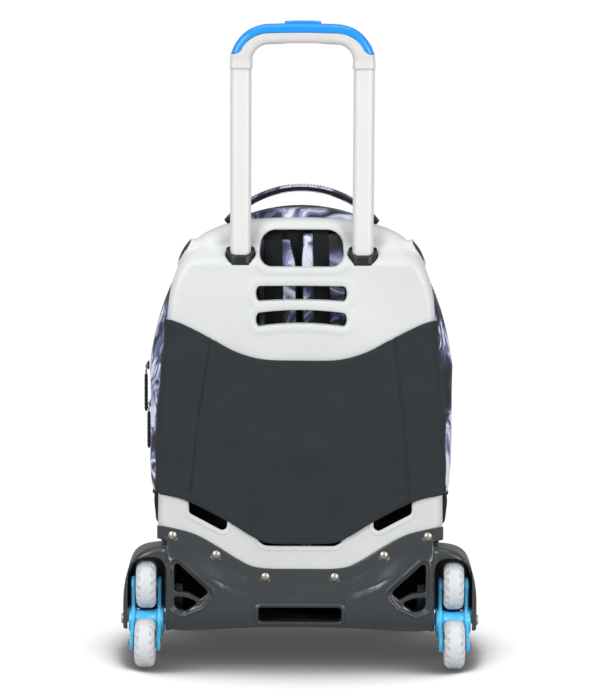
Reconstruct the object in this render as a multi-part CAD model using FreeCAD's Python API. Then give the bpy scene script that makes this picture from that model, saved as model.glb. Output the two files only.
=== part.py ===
"""Wheeled school-and-sports backpack: a hard-shell trolley with stair-climbing wheel stars and a lift-off pack.

Row frame, in millimetres: +X to the wearer's right when facing the shell, +Y from the shell towards the
front of the pack, +Z up. The origin is on the floor, at the middle of the overall width and depth.
The trolley is a moulded shell on a moulded base. Two fixed tubes stand between them, and the handle's
two tubes slide in those. Each side of the base carries a three-wheel star on one axle.
"""
import FreeCAD, Part
import math
import os

V = FreeCAD.Vector

# ---- driving dimensions: overall --------------------------------------------------------------------
depth = 260.0               # back of the rear wheels to the face of the front pocket
clearance = 0.3             # gap between parts that slide past each other
running = 0.05              # radial gap of a turning fit

# ---- wheels and stars -------------------------------------------------------------------------------
wheel_radius = 25.5
wheel_width = 21.0
wheel_shoulder = 7.5        # rounding of the tyre's tread into its sides
core_radius = 15.0
core_width = 19.0
core_boss_radius = 5.5
wheel_pin_radius = 3.0
pin_head_radius = 4.6
pin_head_height = 1.9
star_radius = 37.5          # star centre to wheel centre
star_x = 163.0              # middle plane of each star
plate_gap = 24.0            # between the two plates of a star
plate_thickness = 4.0
arm_radius = 8.5
barrel_radius = 10.0
boss_disc_radius = 14.0
boss_disc_height = 2.5
axle_radius = 4.0
axle_head_radius = 5.6
axle_head_height = 2.3
push_nut_radius = 7.0
push_nut_height = 3.0

# ---- moulded base -----------------------------------------------------------------------------------
base_wall = 3.5
base_half_width = 141.0     # outer faces of the inner wheel-well walls
cheek_thickness = 5.0
cheek_gap = 1.0             # between a star's outer boss and the cheek
base_bottom = 40.0
skirt_bottom = 36.0
swell_depth = 8.0           # how far its lower face stands out behind the band
swell_top = 88.0
swell_ledge = 75.0
well_outer_radius = 90.0
well_opening_top = 115.6
tray_front = 92.0
rivet_head_radius = 4.5
rivet_head_height = 1.8
rivet_shank_radius = 2.3
rivet_places = [(36.6, 93.4), (88.6, 117.1), (134.8, 137.6)]
foot_x = 108.0
foot_y = 72.0
foot_top_radius = 15.0
foot_sole_radius = 11.0
foot_pad_height = 4.0

# ---- hard shell -------------------------------------------------------------------------------------
shell_wall = 3.0
shell_back = -85.0          # its outermost face
shell_front = -40.0         # its rim, around the pack
shell_edge = 9.0            # rounding of its outer edge
setback = 24.0              # how far its top steps back behind the sliding tubes
step_low = 427.0            # the sloping step starts
step_high = 443.0           # and ends
shell_side = [(150.6, 150.0), (150.0, 187.0), (148.6, 265.0), (145.6, 286.0), (141.0, 340.0), (140.0, 368.0),
              (138.0, 392.0), (131.5, 416.0), (117.0, 440.0), (98.0, 456.0), (60.0, 467.5)]
shell_top = 470.6
shell_foot = [(149.0, 138.0), (111.0, 129.0), (85.5, 115.0), (66.0, 103.0), (44.0, 94.0)]
shell_bottom = 93.0
window_radius = 12.0

# ---- telescopic handle ------------------------------------------------------------------------------
tube_x = 64.0
tube_y = -72.0
tube_width = 22.0
tube_depth = 14.0
tube_wall = 1.3
tube_length = 381.0
sleeve_wall = 1.5
sleeve_bottom = 48.0
grip_end = 628.0            # lower end of the grip's sockets
grip_top = 674.6
grip_depth = 20.0
socket_depth = 15.0         # how far a tube goes into the grip
socket_wall = 1.0
grip_corner = 38.0
grip_width = 24.0           # its section across the tubes
grip_rounding = 6.5
split_half_width = 66.0     # line between the cover and the body of the grip
split_top = 665.6
split_corner = 28.0
cover_end = 643.2
button_width = 38.0
button_depth = 11.0
button_rise = 3.1
button_travel = 3.0
bar_height = 3.0            # of the bar that joins the button to its rods
channel_wall = 3.0          # of the grip, under the bar
spring_wire = 0.8
rod_radius = 1.2
pin_radius = 3.0
pin_travel = 3.0
block_height = 40.0
stow_travel = 184.0
extend_travel = 105.0

# ---- corner release buttons ---------------------------------------------------------------------------
corner_centre = V(123.4, -54.0, 436.5)
corner_normal = V(0.851, -0.17, 0.497)
boss_length = 31.0
boss_width = 18.0
boss_wall = 2.6
boss_depth = 15.0
cap_rise = 1.5
corner_travel = 2.5
stem_radius = 4.0

# ---- pack -------------------------------------------------------------------------------------------
fabric = 2.5
pack_bottom = 44.6          # its floor, just over the base's tray
pack_top = 481.0
pack_back = -38.5
pack_mid = 50.0
pack_front = 100.0
boot_top = 172.0
pack_half = 162.5           # its straight sides
pack_low = [(137.0, 44.6), (150.0, 90.0), (157.5, 150.0), (pack_half, 204.0)]
pack_high = [(pack_half, 310.0), (157.5, 338.0), (147.5, 374.0), (131.0, 411.0), (110.0, 438.0), (83.0, 459.0),
             (45.0, 475.0)]
front_high = [(pack_half, 296.0), (154.0, 340.0), (133.0, 382.0), (100.0, 410.0), (50.0, 427.0)]
front_top = 432.0
panel_thickness = 5.0
panel_inset = 9.0
pocket_half_width = 112.0
pocket_low = 66.0
pocket_high = 252.0
strap_x = 25.0
strap_width = 44.0
strap_thickness = 9.0
strap_top = 447.0
strap_bottom = 118.0
zip_width = 7.0
zip_rise = 1.2
main_zip_y = 14.0
main_slider_z = 304.0
front_zip_y = 68.0
front_slider_z = 254.0
slider_height = 9.0
slider_thickness = 3.2
pull_length = 42.0
carry_half_span = 84.0
carry_foot = 464.5
carry_top = 504.0
carry_thickness = 8.0
carry_width = 24.0
carry_y = -18.0
cover_thickness = 2.7
cover_top_line = [(141.0, 366.0), (128.0, 361.0), (112.0, 353.5), (98.0, 346.5), (71.0, 333.0), (41.0, 325.0)]
cover_top_middle = 324.0
cover_bottom_line = [(151.0, 184.0), (117.4, 176.2), (77.0, 155.3), (47.7, 136.9), (31.0, 130.5)]
cover_bottom_middle = 130.0

# ---- places worked out from the above -----------------------------------------------------------------
star_y = -depth / 2 + wheel_radius + star_radius * math.cos(math.radians(30))
star_z = wheel_radius + star_radius / 2
half_star = plate_gap / 2 + plate_thickness + boss_disc_height
cheek_in = star_x + half_star + cheek_gap
cheek_out = cheek_in + cheek_thickness
base_back = shell_back - base_wall
upper_back = shell_back + setback
sleeve_in_width = tube_width + 2 * 0.5
sleeve_in_depth = tube_depth + 2 * 0.5
sleeve_out_width = sleeve_in_width + 2 * sleeve_wall
sleeve_out_depth = sleeve_in_depth + 2 * sleeve_wall
sleeve_top = step_low - 1.0
tube_top = grip_end + socket_depth
tube_bottom = tube_top - tube_length
pin_z = tube_bottom + block_height / 2
pin_back = tube_x - 3.2
pin_pocket = tube_x - 8.6
channel_floor = grip_top - grip_width + channel_wall
bar_low = channel_floor + button_travel + 1.0
channel_top = bar_low + bar_height + 0.6
spring_seat = bar_low + 10.0
sides = {"left": -1, "right": 1}

parts = {}


# ---- shape helpers ------------------------------------------------------------------------------------
def box(x0, x1, y0, y1, z0, z1):
    return Part.makeBox(x1 - x0, y1 - y0, z1 - z0, V(x0, y0, z0))


def rod_x(x0, x1, y, z, r):
    return Part.makeCylinder(r, x1 - x0, V(x0, y, z), V(1, 0, 0))


def rod_y(x, y0, y1, z, r):
    return Part.makeCylinder(r, y1 - y0, V(x, y0, z), V(0, 1, 0))


def rod_z(x, y, z0, z1, r):
    return Part.makeCylinder(r, z1 - z0, V(x, y, z0), V(0, 0, 1))


def stadium(x, y, width, depth_y, z0, z1):
    """Upright bar of oval section, with half-round ends along X."""
    r = depth_y / 2
    flat = width / 2 - r
    bar = box(x - flat, x + flat, y - r, y + r, z0, z1)
    return bar.fuse([rod_z(x - flat, y, z0, z1, r), rod_z(x + flat, y, z0, z1, r)]).removeSplitter()


def mirrored(shape):
    return shape.mirror(V(0, 0, 0), V(1, 0, 0))


def on_side(shape, sign):
    """A shape drawn on the +X side, on the side that sign gives."""
    return shape if sign > 0 else mirrored(shape)


def rounded(points, radius, y=0.0):
    """Closed wire in the XZ plane: straight runs with each corner turned by an arc."""
    n = len(points)
    radii = radius if isinstance(radius, (list, tuple)) else [radius] * n
    starts, edges = [], []
    for i in range(n):
        p = V(points[i][0], y, points[i][1])
        a = V(points[i - 1][0], y, points[i - 1][1]) - p
        b = V(points[(i + 1) % n][0], y, points[(i + 1) % n][1]) - p
        a.normalize()
        b.normalize()
        half = a.getAngle(b) / 2
        reach = radii[i] / math.tan(half)
        middle = a + b
        middle.normalize()
        centre = p + middle * (radii[i] / math.sin(half))
        starts.append((p + a * reach, centre - middle * radii[i], p + b * reach))
    for i in range(n):
        first, mid, last = starts[i]
        edges.append(Part.Arc(first, mid, last).toShape())
        following = starts[(i + 1) % n][0]
        if last.distanceToPoint(following) > 1e-6:
            edges.append(Part.LineSegment(last, following).toShape())
    return Part.Wire(edges)


def both(maker):
    """The left and right copies of a piece, in one group."""
    return Part.makeCompound([maker(-1), maker(1)])


def slab(wire, y0, y1):
    """A closed XZ wire, extruded from y0 to y1."""
    face = Part.Face(wire.translated(V(0, y0 - wire.BoundBox.YMin, 0)))
    return face.extrude(V(0, y1 - y0, 0))


def spline(points, y, start=None, end=None):
    """Smooth edge through points; start and end are directions in (x, z) to leave and arrive by."""
    curve = Part.BSplineCurve()
    places = [V(x, y, z) for x, z in points]
    if start and end:
        curve.interpolate(Points=places, InitialTangent=V(start[0], 0, start[1]), FinalTangent=V(end[0], 0, end[1]))
    else:
        curve.interpolate(places)
    return curve.toShape()


def line(a, b, y=0.0):
    return Part.LineSegment(V(a[0], y, a[1]), V(b[0], y, b[1])).toShape()


def both_sides(half, top):
    """Points of a half outline that rises to (0, top), and its mirror image going down again."""
    return half + [(0.0, top)] + [(-x, z) for x, z in reversed(half)]


def shell_wire(inset, y):
    """The shell's outline, taken in all round by inset."""
    def scaled(points):
        return [(x * (1 - inset / 150.0), 300.0 + (z - 300.0) * (1 - inset / 172.0)) for x, z in points]

    top = both_sides(shell_side, shell_top)
    bottom = [top[-1]] + [(-x, z) for x, z in shell_foot] + [(0.0, shell_bottom)]
    bottom += list(reversed(shell_foot)) + [top[0]]
    return Part.Wire([spline(scaled(top), y), spline(scaled(bottom), y)])


def shell_block(inset, back, front):
    """The shell's outer form: flat back, rounded edge, side walls out to its rim."""
    stations = [(shell_edge, 0.0), (shell_edge * 0.42, shell_edge * 0.18), (shell_edge * 0.1, shell_edge * 0.55),
                (0.0, shell_edge * 1.2)]
    wires = [shell_wire(inset + i, back + y) for i, y in stations]
    wires.append(shell_wire(inset, front))
    return Part.makeLoft(wires, True, True)


def step_cut(offset):
    """What the shell's top steps back by: everything behind a sloping step, moved in by offset."""
    points = [(-140.0, step_low - offset * 1.2), (shell_back + offset, step_low - offset * 1.2),
              (upper_back + offset, step_high - offset * 0.6), (upper_back + offset, 520.0), (-140.0, 520.0)]
    wire = Part.makePolygon([V(-200, y, z) for y, z in points + points[:1]])
    return Part.Face(wire).extrude(V(400, 0, 0))


def pack_wire(half, top, y, kx=1.0, kz=1.0, grow=0.0):
    """Pack outline at y, with its width and height scaled and then grown by grow."""
    mid = (pack_bottom + top) / 2

    def place(x, z):
        side = (x > 0) - (x < 0)
        return x * kx + side * grow, mid + (z - mid) * kz + grow * (z - mid) / (top - mid)

    low, high = half
    right = [place(x, z) for x, z in low]
    left = [(-x, z) for x, z in right]
    over = [place(x, z) for x, z in both_sides(high, top)]
    up, down = (0.0, 1.0), (0.0, -1.0)
    return Part.Wire([
        spline(right, y, (0.35, 1.0), up), line(right[-1], over[0], y), spline(over, y, up, down),
        line(over[-1], left[-1], y), spline(left[::-1], y, down, (0.35, -1.0)), line(left[0], right[0], y)])


def pack_loft(half, top, stations, grow=0.0):
    wires = [pack_wire(half, top, y, kx, kz, grow) for y, kx, kz in stations]
    return Part.makeLoft(wires, True, True)


# ---- telescopic handle --------------------------------------------------------------------------------
def handle_tube(sign):
    x = sign * tube_x
    tube = stadium(x, tube_y, tube_width, tube_depth, tube_bottom, tube_top)
    bore = stadium(x, tube_y, tube_width - 2 * tube_wall, tube_depth - 2 * tube_wall, tube_bottom, tube_top)
    pin_hole = rod_x(-5, 5, tube_y, pin_z, pin_radius + clearance)
    pin_hole.translate(V(sign * (tube_x + tube_width / 2), 0, 0))
    return tube.cut(bore).cut(pin_hole)


def sleeve(sign):
    """Fixed outer tube, with a lock hole for each height of the handle."""
    x = sign * tube_x
    body = stadium(x, tube_y, sleeve_out_width, sleeve_out_depth, sleeve_bottom, sleeve_top)
    bore = stadium(x, tube_y, sleeve_in_width, sleeve_in_depth, sleeve_bottom, sleeve_top)
    body = body.cut(bore)
    for travel in (-stow_travel, 0.0, extend_travel):
        hole = rod_x(-5, 5, tube_y, pin_z + travel, pin_radius + clearance)
        hole.translate(V(sign * (tube_x + sleeve_out_width / 2), 0, 0))
        body = body.cut(hole)
    return body


def lock_block(sign):
    """Plastic block in the foot of a handle tube: it guides the tube in its sleeve and holds the lock pin."""
    inner_w = tube_width - 2 * tube_wall - 0.1
    inner_d = tube_depth - 2 * tube_wall - 0.1
    plug = stadium(tube_x, tube_y, inner_w, inner_d, tube_bottom, tube_bottom + block_height)
    shoe = stadium(tube_x, tube_y, sleeve_in_width - 0.4, sleeve_in_depth - 0.4, tube_bottom - 8.0, tube_bottom)
    pocket = rod_x(pin_pocket, tube_x + tube_width, tube_y, pin_z, pin_radius + clearance)
    rod_well = rod_z(tube_x, tube_y, pin_z - 12.0, tube_bottom + block_height, rod_radius + 0.4)
    block = plug.fuse(shoe).cut(pocket).cut(rod_well)
    return on_side(block.removeSplitter(), sign)


def lock_pin(sign):
    """Sprung pin, its tip curved like the sleeve's bore, with a slot for the rod whose foot draws it inwards."""
    tip = tube_x + sleeve_in_width / 2 - 0.2
    bore = stadium(tube_x, tube_y, sleeve_in_width - 0.4, sleeve_in_depth - 0.4, pin_z - 5, pin_z + 5)
    pin = rod_x(pin_back, tip + 1.0, tube_y, pin_z, pin_radius).common(bore)
    slot = box(tube_x - rod_radius - 0.3, tube_x + rod_radius + 0.3 + pin_travel, tube_y - rod_radius - 0.3,
               tube_y + rod_radius + 0.3, pin_z - 5, pin_z + 5)
    return on_side(pin.cut(slot), sign)


def lock_spring(sign):
    spring = coil(V(pin_pocket + 0.3, tube_y, pin_z), V(1, 0, 0), 2.0, 0.5, pin_back - pin_pocket - 0.6, 3)
    return on_side(spring, sign)


def button_spring():
    return coil(V(0, tube_y, channel_floor + 0.45), V(0, 0, 1), 3.0, spring_wire,
                spring_seat - channel_floor - 0.9, 4)


def grip_arch():
    """The whole grip before it is split: an oval-edged section swept over both tubes."""
    half = tube_x
    top = grip_top - grip_width / 2
    bend = grip_corner - grip_width / 2
    low, mid = grip_end, top - bend
    turn = bend * (1 - math.sqrt(0.5))
    path = Part.Wire([
        line((-half, low), (-half, mid), tube_y),
        Part.Arc(V(-half, tube_y, mid), V(-half + turn, tube_y, top - turn), V(-half + bend, tube_y, top)).toShape(),
        line((-half + bend, top), (half - bend, top), tube_y),
        Part.Arc(V(half - bend, tube_y, top), V(half - turn, tube_y, top - turn), V(half, tube_y, mid)).toShape(),
        line((half, mid), (half, low), tube_y)])
    w, d = grip_width / 2, grip_depth / 2
    block = box(-half - w, -half + w, tube_y - d, tube_y + d, low - 1, low)
    block = block.makeFillet(grip_rounding, [e for e in block.Edges if e.BoundBox.ZLength > 0.5])
    base = [f for f in block.Faces if abs(f.CenterOfMass.z - low) < 1e-6][0]
    return path.makePipeShell([base.OuterWire], True, False, 1)


def grip_pieces():
    arch = grip_arch()
    back, front = tube_y - grip_depth / 2 - 5, tube_y + grip_depth / 2 + 5
    under_points = [(-split_half_width, cover_end - 30), (-split_half_width, split_top),
                    (split_half_width, split_top), (split_half_width, cover_end - 30)]
    under = slab(rounded(under_points, [1.0, split_corner, split_corner, 1.0]), back, front)
    channel_half = tube_x + 3.0 + clearance
    channel = box(-channel_half, channel_half, tube_y - 4.5, tube_y + 4.5, channel_floor, channel_top)
    upper_region = box(-200, 200, back, front, cover_end, 720)
    cover = arch.common(upper_region).cut(under)
    body = arch.cut(cover)
    cover = cover.cut(channel)
    for sign in (-1, 1):
        x = sign * tube_x
        socket = stadium(x, tube_y, tube_width + 0.1, tube_depth + 0.1, grip_end - 1, tube_top)
        well = rod_z(x, tube_y, grip_end, channel_floor + 1, rod_radius + 1.0)
        body = body.cut(socket).cut(well)
        cover = cover.cut(socket).cut(well)
    body = body.cut(channel)
    slot_half = button_width / 2 + clearance
    slot = box(-slot_half, slot_half, tube_y - button_depth / 2 - clearance, tube_y + button_depth / 2 + clearance,
               channel_floor, grip_top + 5)
    return body.cut(slot), cover.cut(slot)


def release_button():
    """Button and the bar under it, which carries both rods. A spring stands in the button's blind hole."""
    cap = box(-button_width / 2, button_width / 2, tube_y - button_depth / 2, tube_y + button_depth / 2,
              bar_low, grip_top + button_rise)
    cap = cap.makeFillet(1.8, [e for e in cap.Edges if e.BoundBox.ZMin > grip_top + button_rise - 0.1])
    bar = box(-tube_x - 3.0, tube_x + 3.0, tube_y - 4.0, tube_y + 4.0, bar_low, bar_low + bar_height)
    return cap.fuse(bar).cut(rod_z(0, tube_y, bar_low - 1, spring_seat, 4.4)).removeSplitter()


def push_rods():
    return Part.makeCompound([rod_z(s * tube_x, tube_y, pin_z - 8.0, bar_low, rod_radius) for s in (-1, 1)])


def coil(centre, axis, radius, wire, length, turns):
    """Compression spring, running from centre along axis: six-sided wire, lofted section by section."""
    steps = int(turns * 10)
    sections = []
    for i in range(steps + 1):
        angle = 2 * math.pi * turns * i / steps
        middle = V(radius * math.cos(angle), radius * math.sin(angle), wire / 2 + (length - wire) * i / steps)
        outward = V(math.cos(angle), math.sin(angle), 0)
        corners = []
        for k in range(7):
            turn = math.radians(60 * k)
            corners.append(middle + outward * (wire / 2 * math.cos(turn)) + V(0, 0, wire / 2 * math.sin(turn)))
        sections.append(Part.makePolygon(corners))
    spring = Part.makeLoft(sections, True, True)
    if spring.Volume < 0:
        spring.reverse()
    spring.Placement = FreeCAD.Placement(centre, FreeCAD.Rotation(V(0, 0, 1), axis))
    return spring


def collar(sign):
    """Sloping bezel around a tube, seated in the shell's step."""
    ring = stadium(tube_x, tube_y - 1.0, 31.0, 25.0, step_low - 6.0, step_high)
    ring = ring.cut(stadium(tube_x, tube_y, tube_width + 2 * clearance, tube_depth + 2 * clearance,
                            sleeve_top - 30, step_high + 5))
    ring = ring.cut(stadium(tube_x, tube_y, sleeve_out_width + 0.2, sleeve_out_depth + 0.2,
                            sleeve_top - 30, sleeve_top))
    slope = Part.makePolygon([V(0, -95, step_low + 4), V(0, tube_y + 2, step_high - 1), V(0, tube_y + 20, step_high),
                              V(0, tube_y + 20, step_high + 20), V(0, -95, step_high + 20), V(0, -95, step_low + 4)])
    ring = ring.cut(Part.Face(slope).extrude(V(200, 0, 0)))
    return on_side(ring, sign)


def tube_feet():
    """Plastic sockets that hold the sleeves on the base's floor."""
    feet = []
    for sign in (-1, 1):
        x = sign * tube_x
        foot = stadium(x, tube_y, sleeve_out_width + 8, 25.0, base_bottom + base_wall, sleeve_bottom + 14)
        foot = foot.cut(stadium(x, tube_y, sleeve_out_width + 0.1, sleeve_out_depth + 0.1, sleeve_bottom,
                                sleeve_bottom + 20))
        feet.append(foot)
    return Part.makeCompound(feet)


# ---- hard shell ---------------------------------------------------------------------------------------
def shell_windows():
    """Every opening through the shell's back, as slabs to cut."""
    y0, y1 = shell_back - 10, upper_back + 12
    top_window = rounded([(-45, 422), (-43, 459.5), (43, 459.5), (45, 422)], [10, 14, 14, 10])
    cuts = [slab(top_window, y0, y1)]
    arch = 3.5
    for low, high in ((387.0, 402.0), (362.0, 377.0)):
        left, right = (-48.0, low), (48.0, low)
        slot = Part.Wire([
            Part.Arc(V(-44, 0, high), V(0, 0, high + arch), V(44, 0, high)).toShape(),
            Part.Arc(V(44, 0, high), V(48, 0, (low + high) / 2), V(44, 0, low)).toShape(),
            Part.Arc(V(44, 0, right[1]), V(0, 0, low + arch), V(-44, 0, left[1])).toShape(),
            Part.Arc(V(-44, 0, low), V(-48, 0, (low + high) / 2), V(-44, 0, high)).toShape()])
        cuts.append(slab(slot, y0, y1))
    lower = [(76.5, 175), (77.5, 139.5), (117.5, 161.0), (118.0, 190)]
    for sign in (-1, 1):
        cuts.append(slab(rounded([(sign * x, z) for x, z in lower], 5.0), y0, y1))
    cuts.append(slab(rounded([(-36, 125), (-44, 158), (44, 158), (36, 125)], 6.0), y0, y1))
    return cuts


def open_foot():
    """What leaves the shell's lower edge as one flat flange, with no wall along it."""
    reach = 146.0
    half = [(reach, 137.0)] + shell_foot[1:]
    low = [(x, z - 14.0) for x, z in half] + [(-x, z - 14.0) for x, z in reversed(half)]
    high = [(x, z + 13.0) for x, z in half] + [(-x, z + 13.0) for x, z in reversed(half)]
    wire = Part.makePolygon([V(x, 0, z) for x, z in low + high[::-1] + low[:1]])
    return slab(wire, shell_back + shell_wall, shell_front + 5)


def corner_frame():
    """Placement whose local Z is a corner button's outward axis and local X runs along its length."""
    normal = V(corner_normal)
    normal.normalize()
    across = normal.cross(V(0, 1, 0))
    across.normalize()
    third = normal.cross(across)
    matrix = FreeCAD.Matrix(across.x, third.x, normal.x, corner_centre.x, across.y, third.y, normal.y,
                            corner_centre.y, across.z, third.z, normal.z, corner_centre.z, 0, 0, 0, 1)
    return FreeCAD.Placement(matrix)


def corner_bar(length, width, low, high):
    bar = stadium(0, 0, length, width, low, high)
    bar.Placement = corner_frame()
    return bar


def corner_boss():
    return corner_bar(boss_length, boss_width, -boss_depth, 0.0)


def corner_pocket():
    """Hole through the boss for the button's cap, with a floor that its stem passes."""
    wide = corner_bar(boss_length - 2 * boss_wall, boss_width - 2 * boss_wall, -boss_depth + 3.0, 1.0)
    stem = Part.makeCylinder(stem_radius + clearance, boss_depth + 20, V(0, 0, -boss_depth - 10), V(0, 0, 1))
    stem.Placement = corner_frame()
    return wide.fuse(stem)


def corner_button(sign):
    cap = corner_bar(boss_length - 2 * boss_wall - 2 * clearance, boss_width - 2 * boss_wall - 2 * clearance,
                     -3.5, cap_rise)
    stem = Part.makeCylinder(stem_radius, boss_depth + 3.0, V(0, 0, -boss_depth - 4.0), V(0, 0, 1))
    stem.Placement = corner_frame()
    return on_side(cap.fuse(stem).removeSplitter(), sign)


def corner_spring(sign):
    low = -boss_depth + 3.2
    spring = coil(V(0, 0, 0), V(0, 0, 1), stem_radius + 1.4, 0.8, -3.9 - low, 3)
    local = FreeCAD.Placement(V(0, 0, low), FreeCAD.Rotation())
    spring.Placement = corner_frame().multiply(local)
    return on_side(spring, sign)


def back_shell():
    outer = shell_block(0.0, shell_back, shell_front).cut(step_cut(0.0))
    inner = shell_block(shell_wall, shell_back + shell_wall, shell_front + 5).cut(step_cut(shell_wall))
    shell = outer.cut(inner).cut(open_foot())
    for cut in shell_windows():
        shell = shell.cut(cut)
    for sign in (-1, 1):
        boss = on_side(corner_boss(), sign)
        shell = shell.fuse(boss)
    for sign in (-1, 1):
        shell = shell.cut(on_side(corner_pocket(), sign))
        shell = shell.cut(on_side(stadium(tube_x, tube_y - 1.0, 31.4, 25.4, step_low - 8.0, step_high + 3.0), sign))
    for x, z in rivet_places:
        for sign in (-1, 1):
            shell = shell.cut(rod_y(sign * x, shell_back - 2, shell_back + 6, z, rivet_shank_radius + 0.2))
    solids = sorted(shell.Solids, key=lambda s: s.Volume)
    return solids[-1]


def back_cover():
    """Fabric stretched over the middle of the shell and round its sides."""
    lift = 0.4
    outer = shell_block(-lift - cover_thickness, shell_back - lift - cover_thickness, shell_front - 4)
    inner = shell_block(-lift, shell_back - lift, shell_front)
    top = both_sides(cover_top_line, cover_top_middle)
    bottom = both_sides(cover_bottom_line, cover_bottom_middle)
    reach = 175.0
    wire = Part.Wire([
        spline(top, 0),
        Part.LineSegment(V(-141, 0, 366), V(-reach, 0, 374)).toShape(),
        Part.LineSegment(V(-reach, 0, 374), V(-reach, 0, 190)).toShape(),
        Part.LineSegment(V(-reach, 0, 190), V(-151, 0, 184)).toShape(),
        spline(list(reversed(bottom)), 0),
        Part.LineSegment(V(151, 0, 184), V(reach, 0, 190)).toShape(),
        Part.LineSegment(V(reach, 0, 190), V(reach, 0, 374)).toShape(),
        Part.LineSegment(V(reach, 0, 374), V(141, 0, 366)).toShape()])
    return outer.cut(inner).common(slab(wire, shell_back - 20, shell_front - 5))


# ---- moulded base -------------------------------------------------------------------------------------
def base_back_wall():
    band = [(151.0, 148.3), (136.5, 145.6), (111.0, 138.6), (85.5, 124.5), (66.2, 112.2), (44.0, 103.0)]
    top = both_sides(band, 102.0)
    skirt = [(base_half_width, skirt_bottom + 1), (117.0, 35.5), (60.0, 38.6)]
    bottom = both_sides(skirt, base_bottom)
    wire = Part.Wire([
        spline(top, 0),
        Part.LineSegment(V(-151, 0, 148.3), V(-151, 0, 133)).toShape(),
        Part.LineSegment(V(-151, 0, 133), V(-base_half_width, 0, 133)).toShape(),
        Part.LineSegment(V(-base_half_width, 0, 133), V(-base_half_width, 0, skirt_bottom + 1)).toShape(),
        spline(list(reversed(bottom)), 0),
        Part.LineSegment(V(base_half_width, 0, skirt_bottom + 1), V(base_half_width, 0, 133)).toShape(),
        Part.LineSegment(V(base_half_width, 0, 133), V(151, 0, 133)).toShape(),
        Part.LineSegment(V(151, 0, 133), V(151, 0, 148.3)).toShape()])
    return slab(wire, base_back, shell_back)


def swell(inset, half):
    """The base's lower face, which stands out behind its band: a ledge above and a rounded foot below."""
    back = base_back - swell_depth + inset
    points = [(shell_back + 1.0, swell_top - inset * 1.4), (base_back, swell_top - inset * 1.4),
              (back, swell_ledge - inset * 0.5), (back, 50.0), (base_back + inset, base_bottom + 0.5),
              (shell_back + 1.0, base_bottom + 0.5)]
    wire = Part.makePolygon([V(-half, y, z) for y, z in points + points[:1]])
    return Part.Face(wire).extrude(V(2 * half, 0, 0))


def base_windows():
    y0, y1 = base_back - swell_depth - 10, shell_back + 10
    cuts = [slab(rounded([(-43.8, 46.0), (-43.8, 61.8), (43.8, 61.8), (43.8, 46.0)], 3.5), y0, y1)]
    upper = [(133.0, 111.0), (133.0, 78.5), (118.0, 77.0), (104.0, 69.0), (95.0, 78.0)]
    lower = [(133.0, 71.5), (120.0, 70.0), (108.5, 66.5), (124.0, 57.0), (133.0, 63.0)]
    for sign in (-1, 1):
        for points, radius in ((upper, 2.5), (lower, 2.5)):
            cuts.append(slab(rounded([(sign * x, z) for x, z in points], radius), y0, y1))
    return cuts


def well_profile(inset, low):
    """The wheel cover's outline seen from behind, as a face in the XZ plane, taken in by inset."""
    x_in = base_half_width - base_wall + inset
    outer = [(cheek_out - inset, 62.0), (cheek_out - 0.8 - inset, 77.3), (cheek_out - 3.6 - inset, 94.2),
             (178.6 - inset * 0.8, 109.6 - inset * 0.4), (170.0 - inset * 0.6, 123.4 - inset * 0.7),
             (162.0 - inset * 0.3, 130.0 - inset), (150.0, 133.4 - inset)]
    edges = [spline(outer, 0)]
    corners = [outer[-1], (x_in, 133.4 - inset), (x_in, low), (cheek_out - inset, low), outer[0]]
    for a, b in zip(corners, corners[1:]):
        edges.append(Part.LineSegment(V(a[0], 0, a[1]), V(b[0], 0, b[1])).toShape())
    return Part.Wire(edges)


def wheel_well():
    """Cover over one star: a rounded housing, open below and behind."""
    outer = slab(well_profile(0.0, skirt_bottom), base_back, 30.0)
    outer = outer.common(rod_x(100, 220, star_y, star_z, well_outer_radius))
    inner = slab(well_profile(base_wall, skirt_bottom - 10), base_back + 4.0, 30.0)
    inner = inner.common(rod_x(100, 220, star_y, star_z, well_outer_radius - base_wall - 0.5))
    cheek_trim = box(cheek_in, cheek_out + 1, -200, 200, 0, 200)
    inner = inner.cut(cheek_trim)
    opening = rounded([(base_half_width, 20.0), (base_half_width, well_opening_top), (cheek_in, well_opening_top),
                       (cheek_in, 20.0)], [0.5, 14.0, 17.0, 0.5])
    return outer.cut(inner).cut(slab(opening, base_back - 5, base_back + 6))


def base_moulding():
    swell_half = base_half_width - base_wall
    body = base_back_wall().cut(swell(base_wall, swell_half - base_wall)).fuse(
        swell(0.0, swell_half).cut(swell(base_wall, swell_half - base_wall)))
    tray = box(-base_half_width + 6, base_half_width - 6, shell_back, tray_front, base_bottom, base_bottom + base_wall)
    corners = [e for e in tray.Edges if abs(e.BoundBox.YMax - tray_front) < 0.1 and e.BoundBox.ZLength > 3]
    body = body.fuse(tray.makeFillet(30.0, corners))
    side_wall = box(base_half_width - base_wall, base_half_width, shell_back, 0.0, skirt_bottom + 1, base_bottom + 20)
    join = box(base_half_width - base_wall - 4, base_half_width, shell_back, 0.0, base_bottom, base_bottom + base_wall)
    well = wheel_well().fuse([side_wall, join])
    body = body.fuse([well, mirrored(well)])
    for cut in base_windows():
        body = body.cut(cut)
    nut_room_end = base_half_width - base_wall
    for sign in (-1, 1):
        bore = rod_x(base_half_width - 20, cheek_out + 5, star_y, star_z, axle_radius + running)
        nut_room = rod_x(nut_room_end - push_nut_height - 4, nut_room_end, star_y, star_z, push_nut_radius + 1.0)
        body = body.cut(on_side(bore, sign)).cut(on_side(nut_room, sign))
        for x, z in rivet_places:
            body = body.cut(rod_y(sign * x, base_back - 1, shell_back + 1, z, rivet_shank_radius + 0.2))
    return body.removeSplitter()


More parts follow.
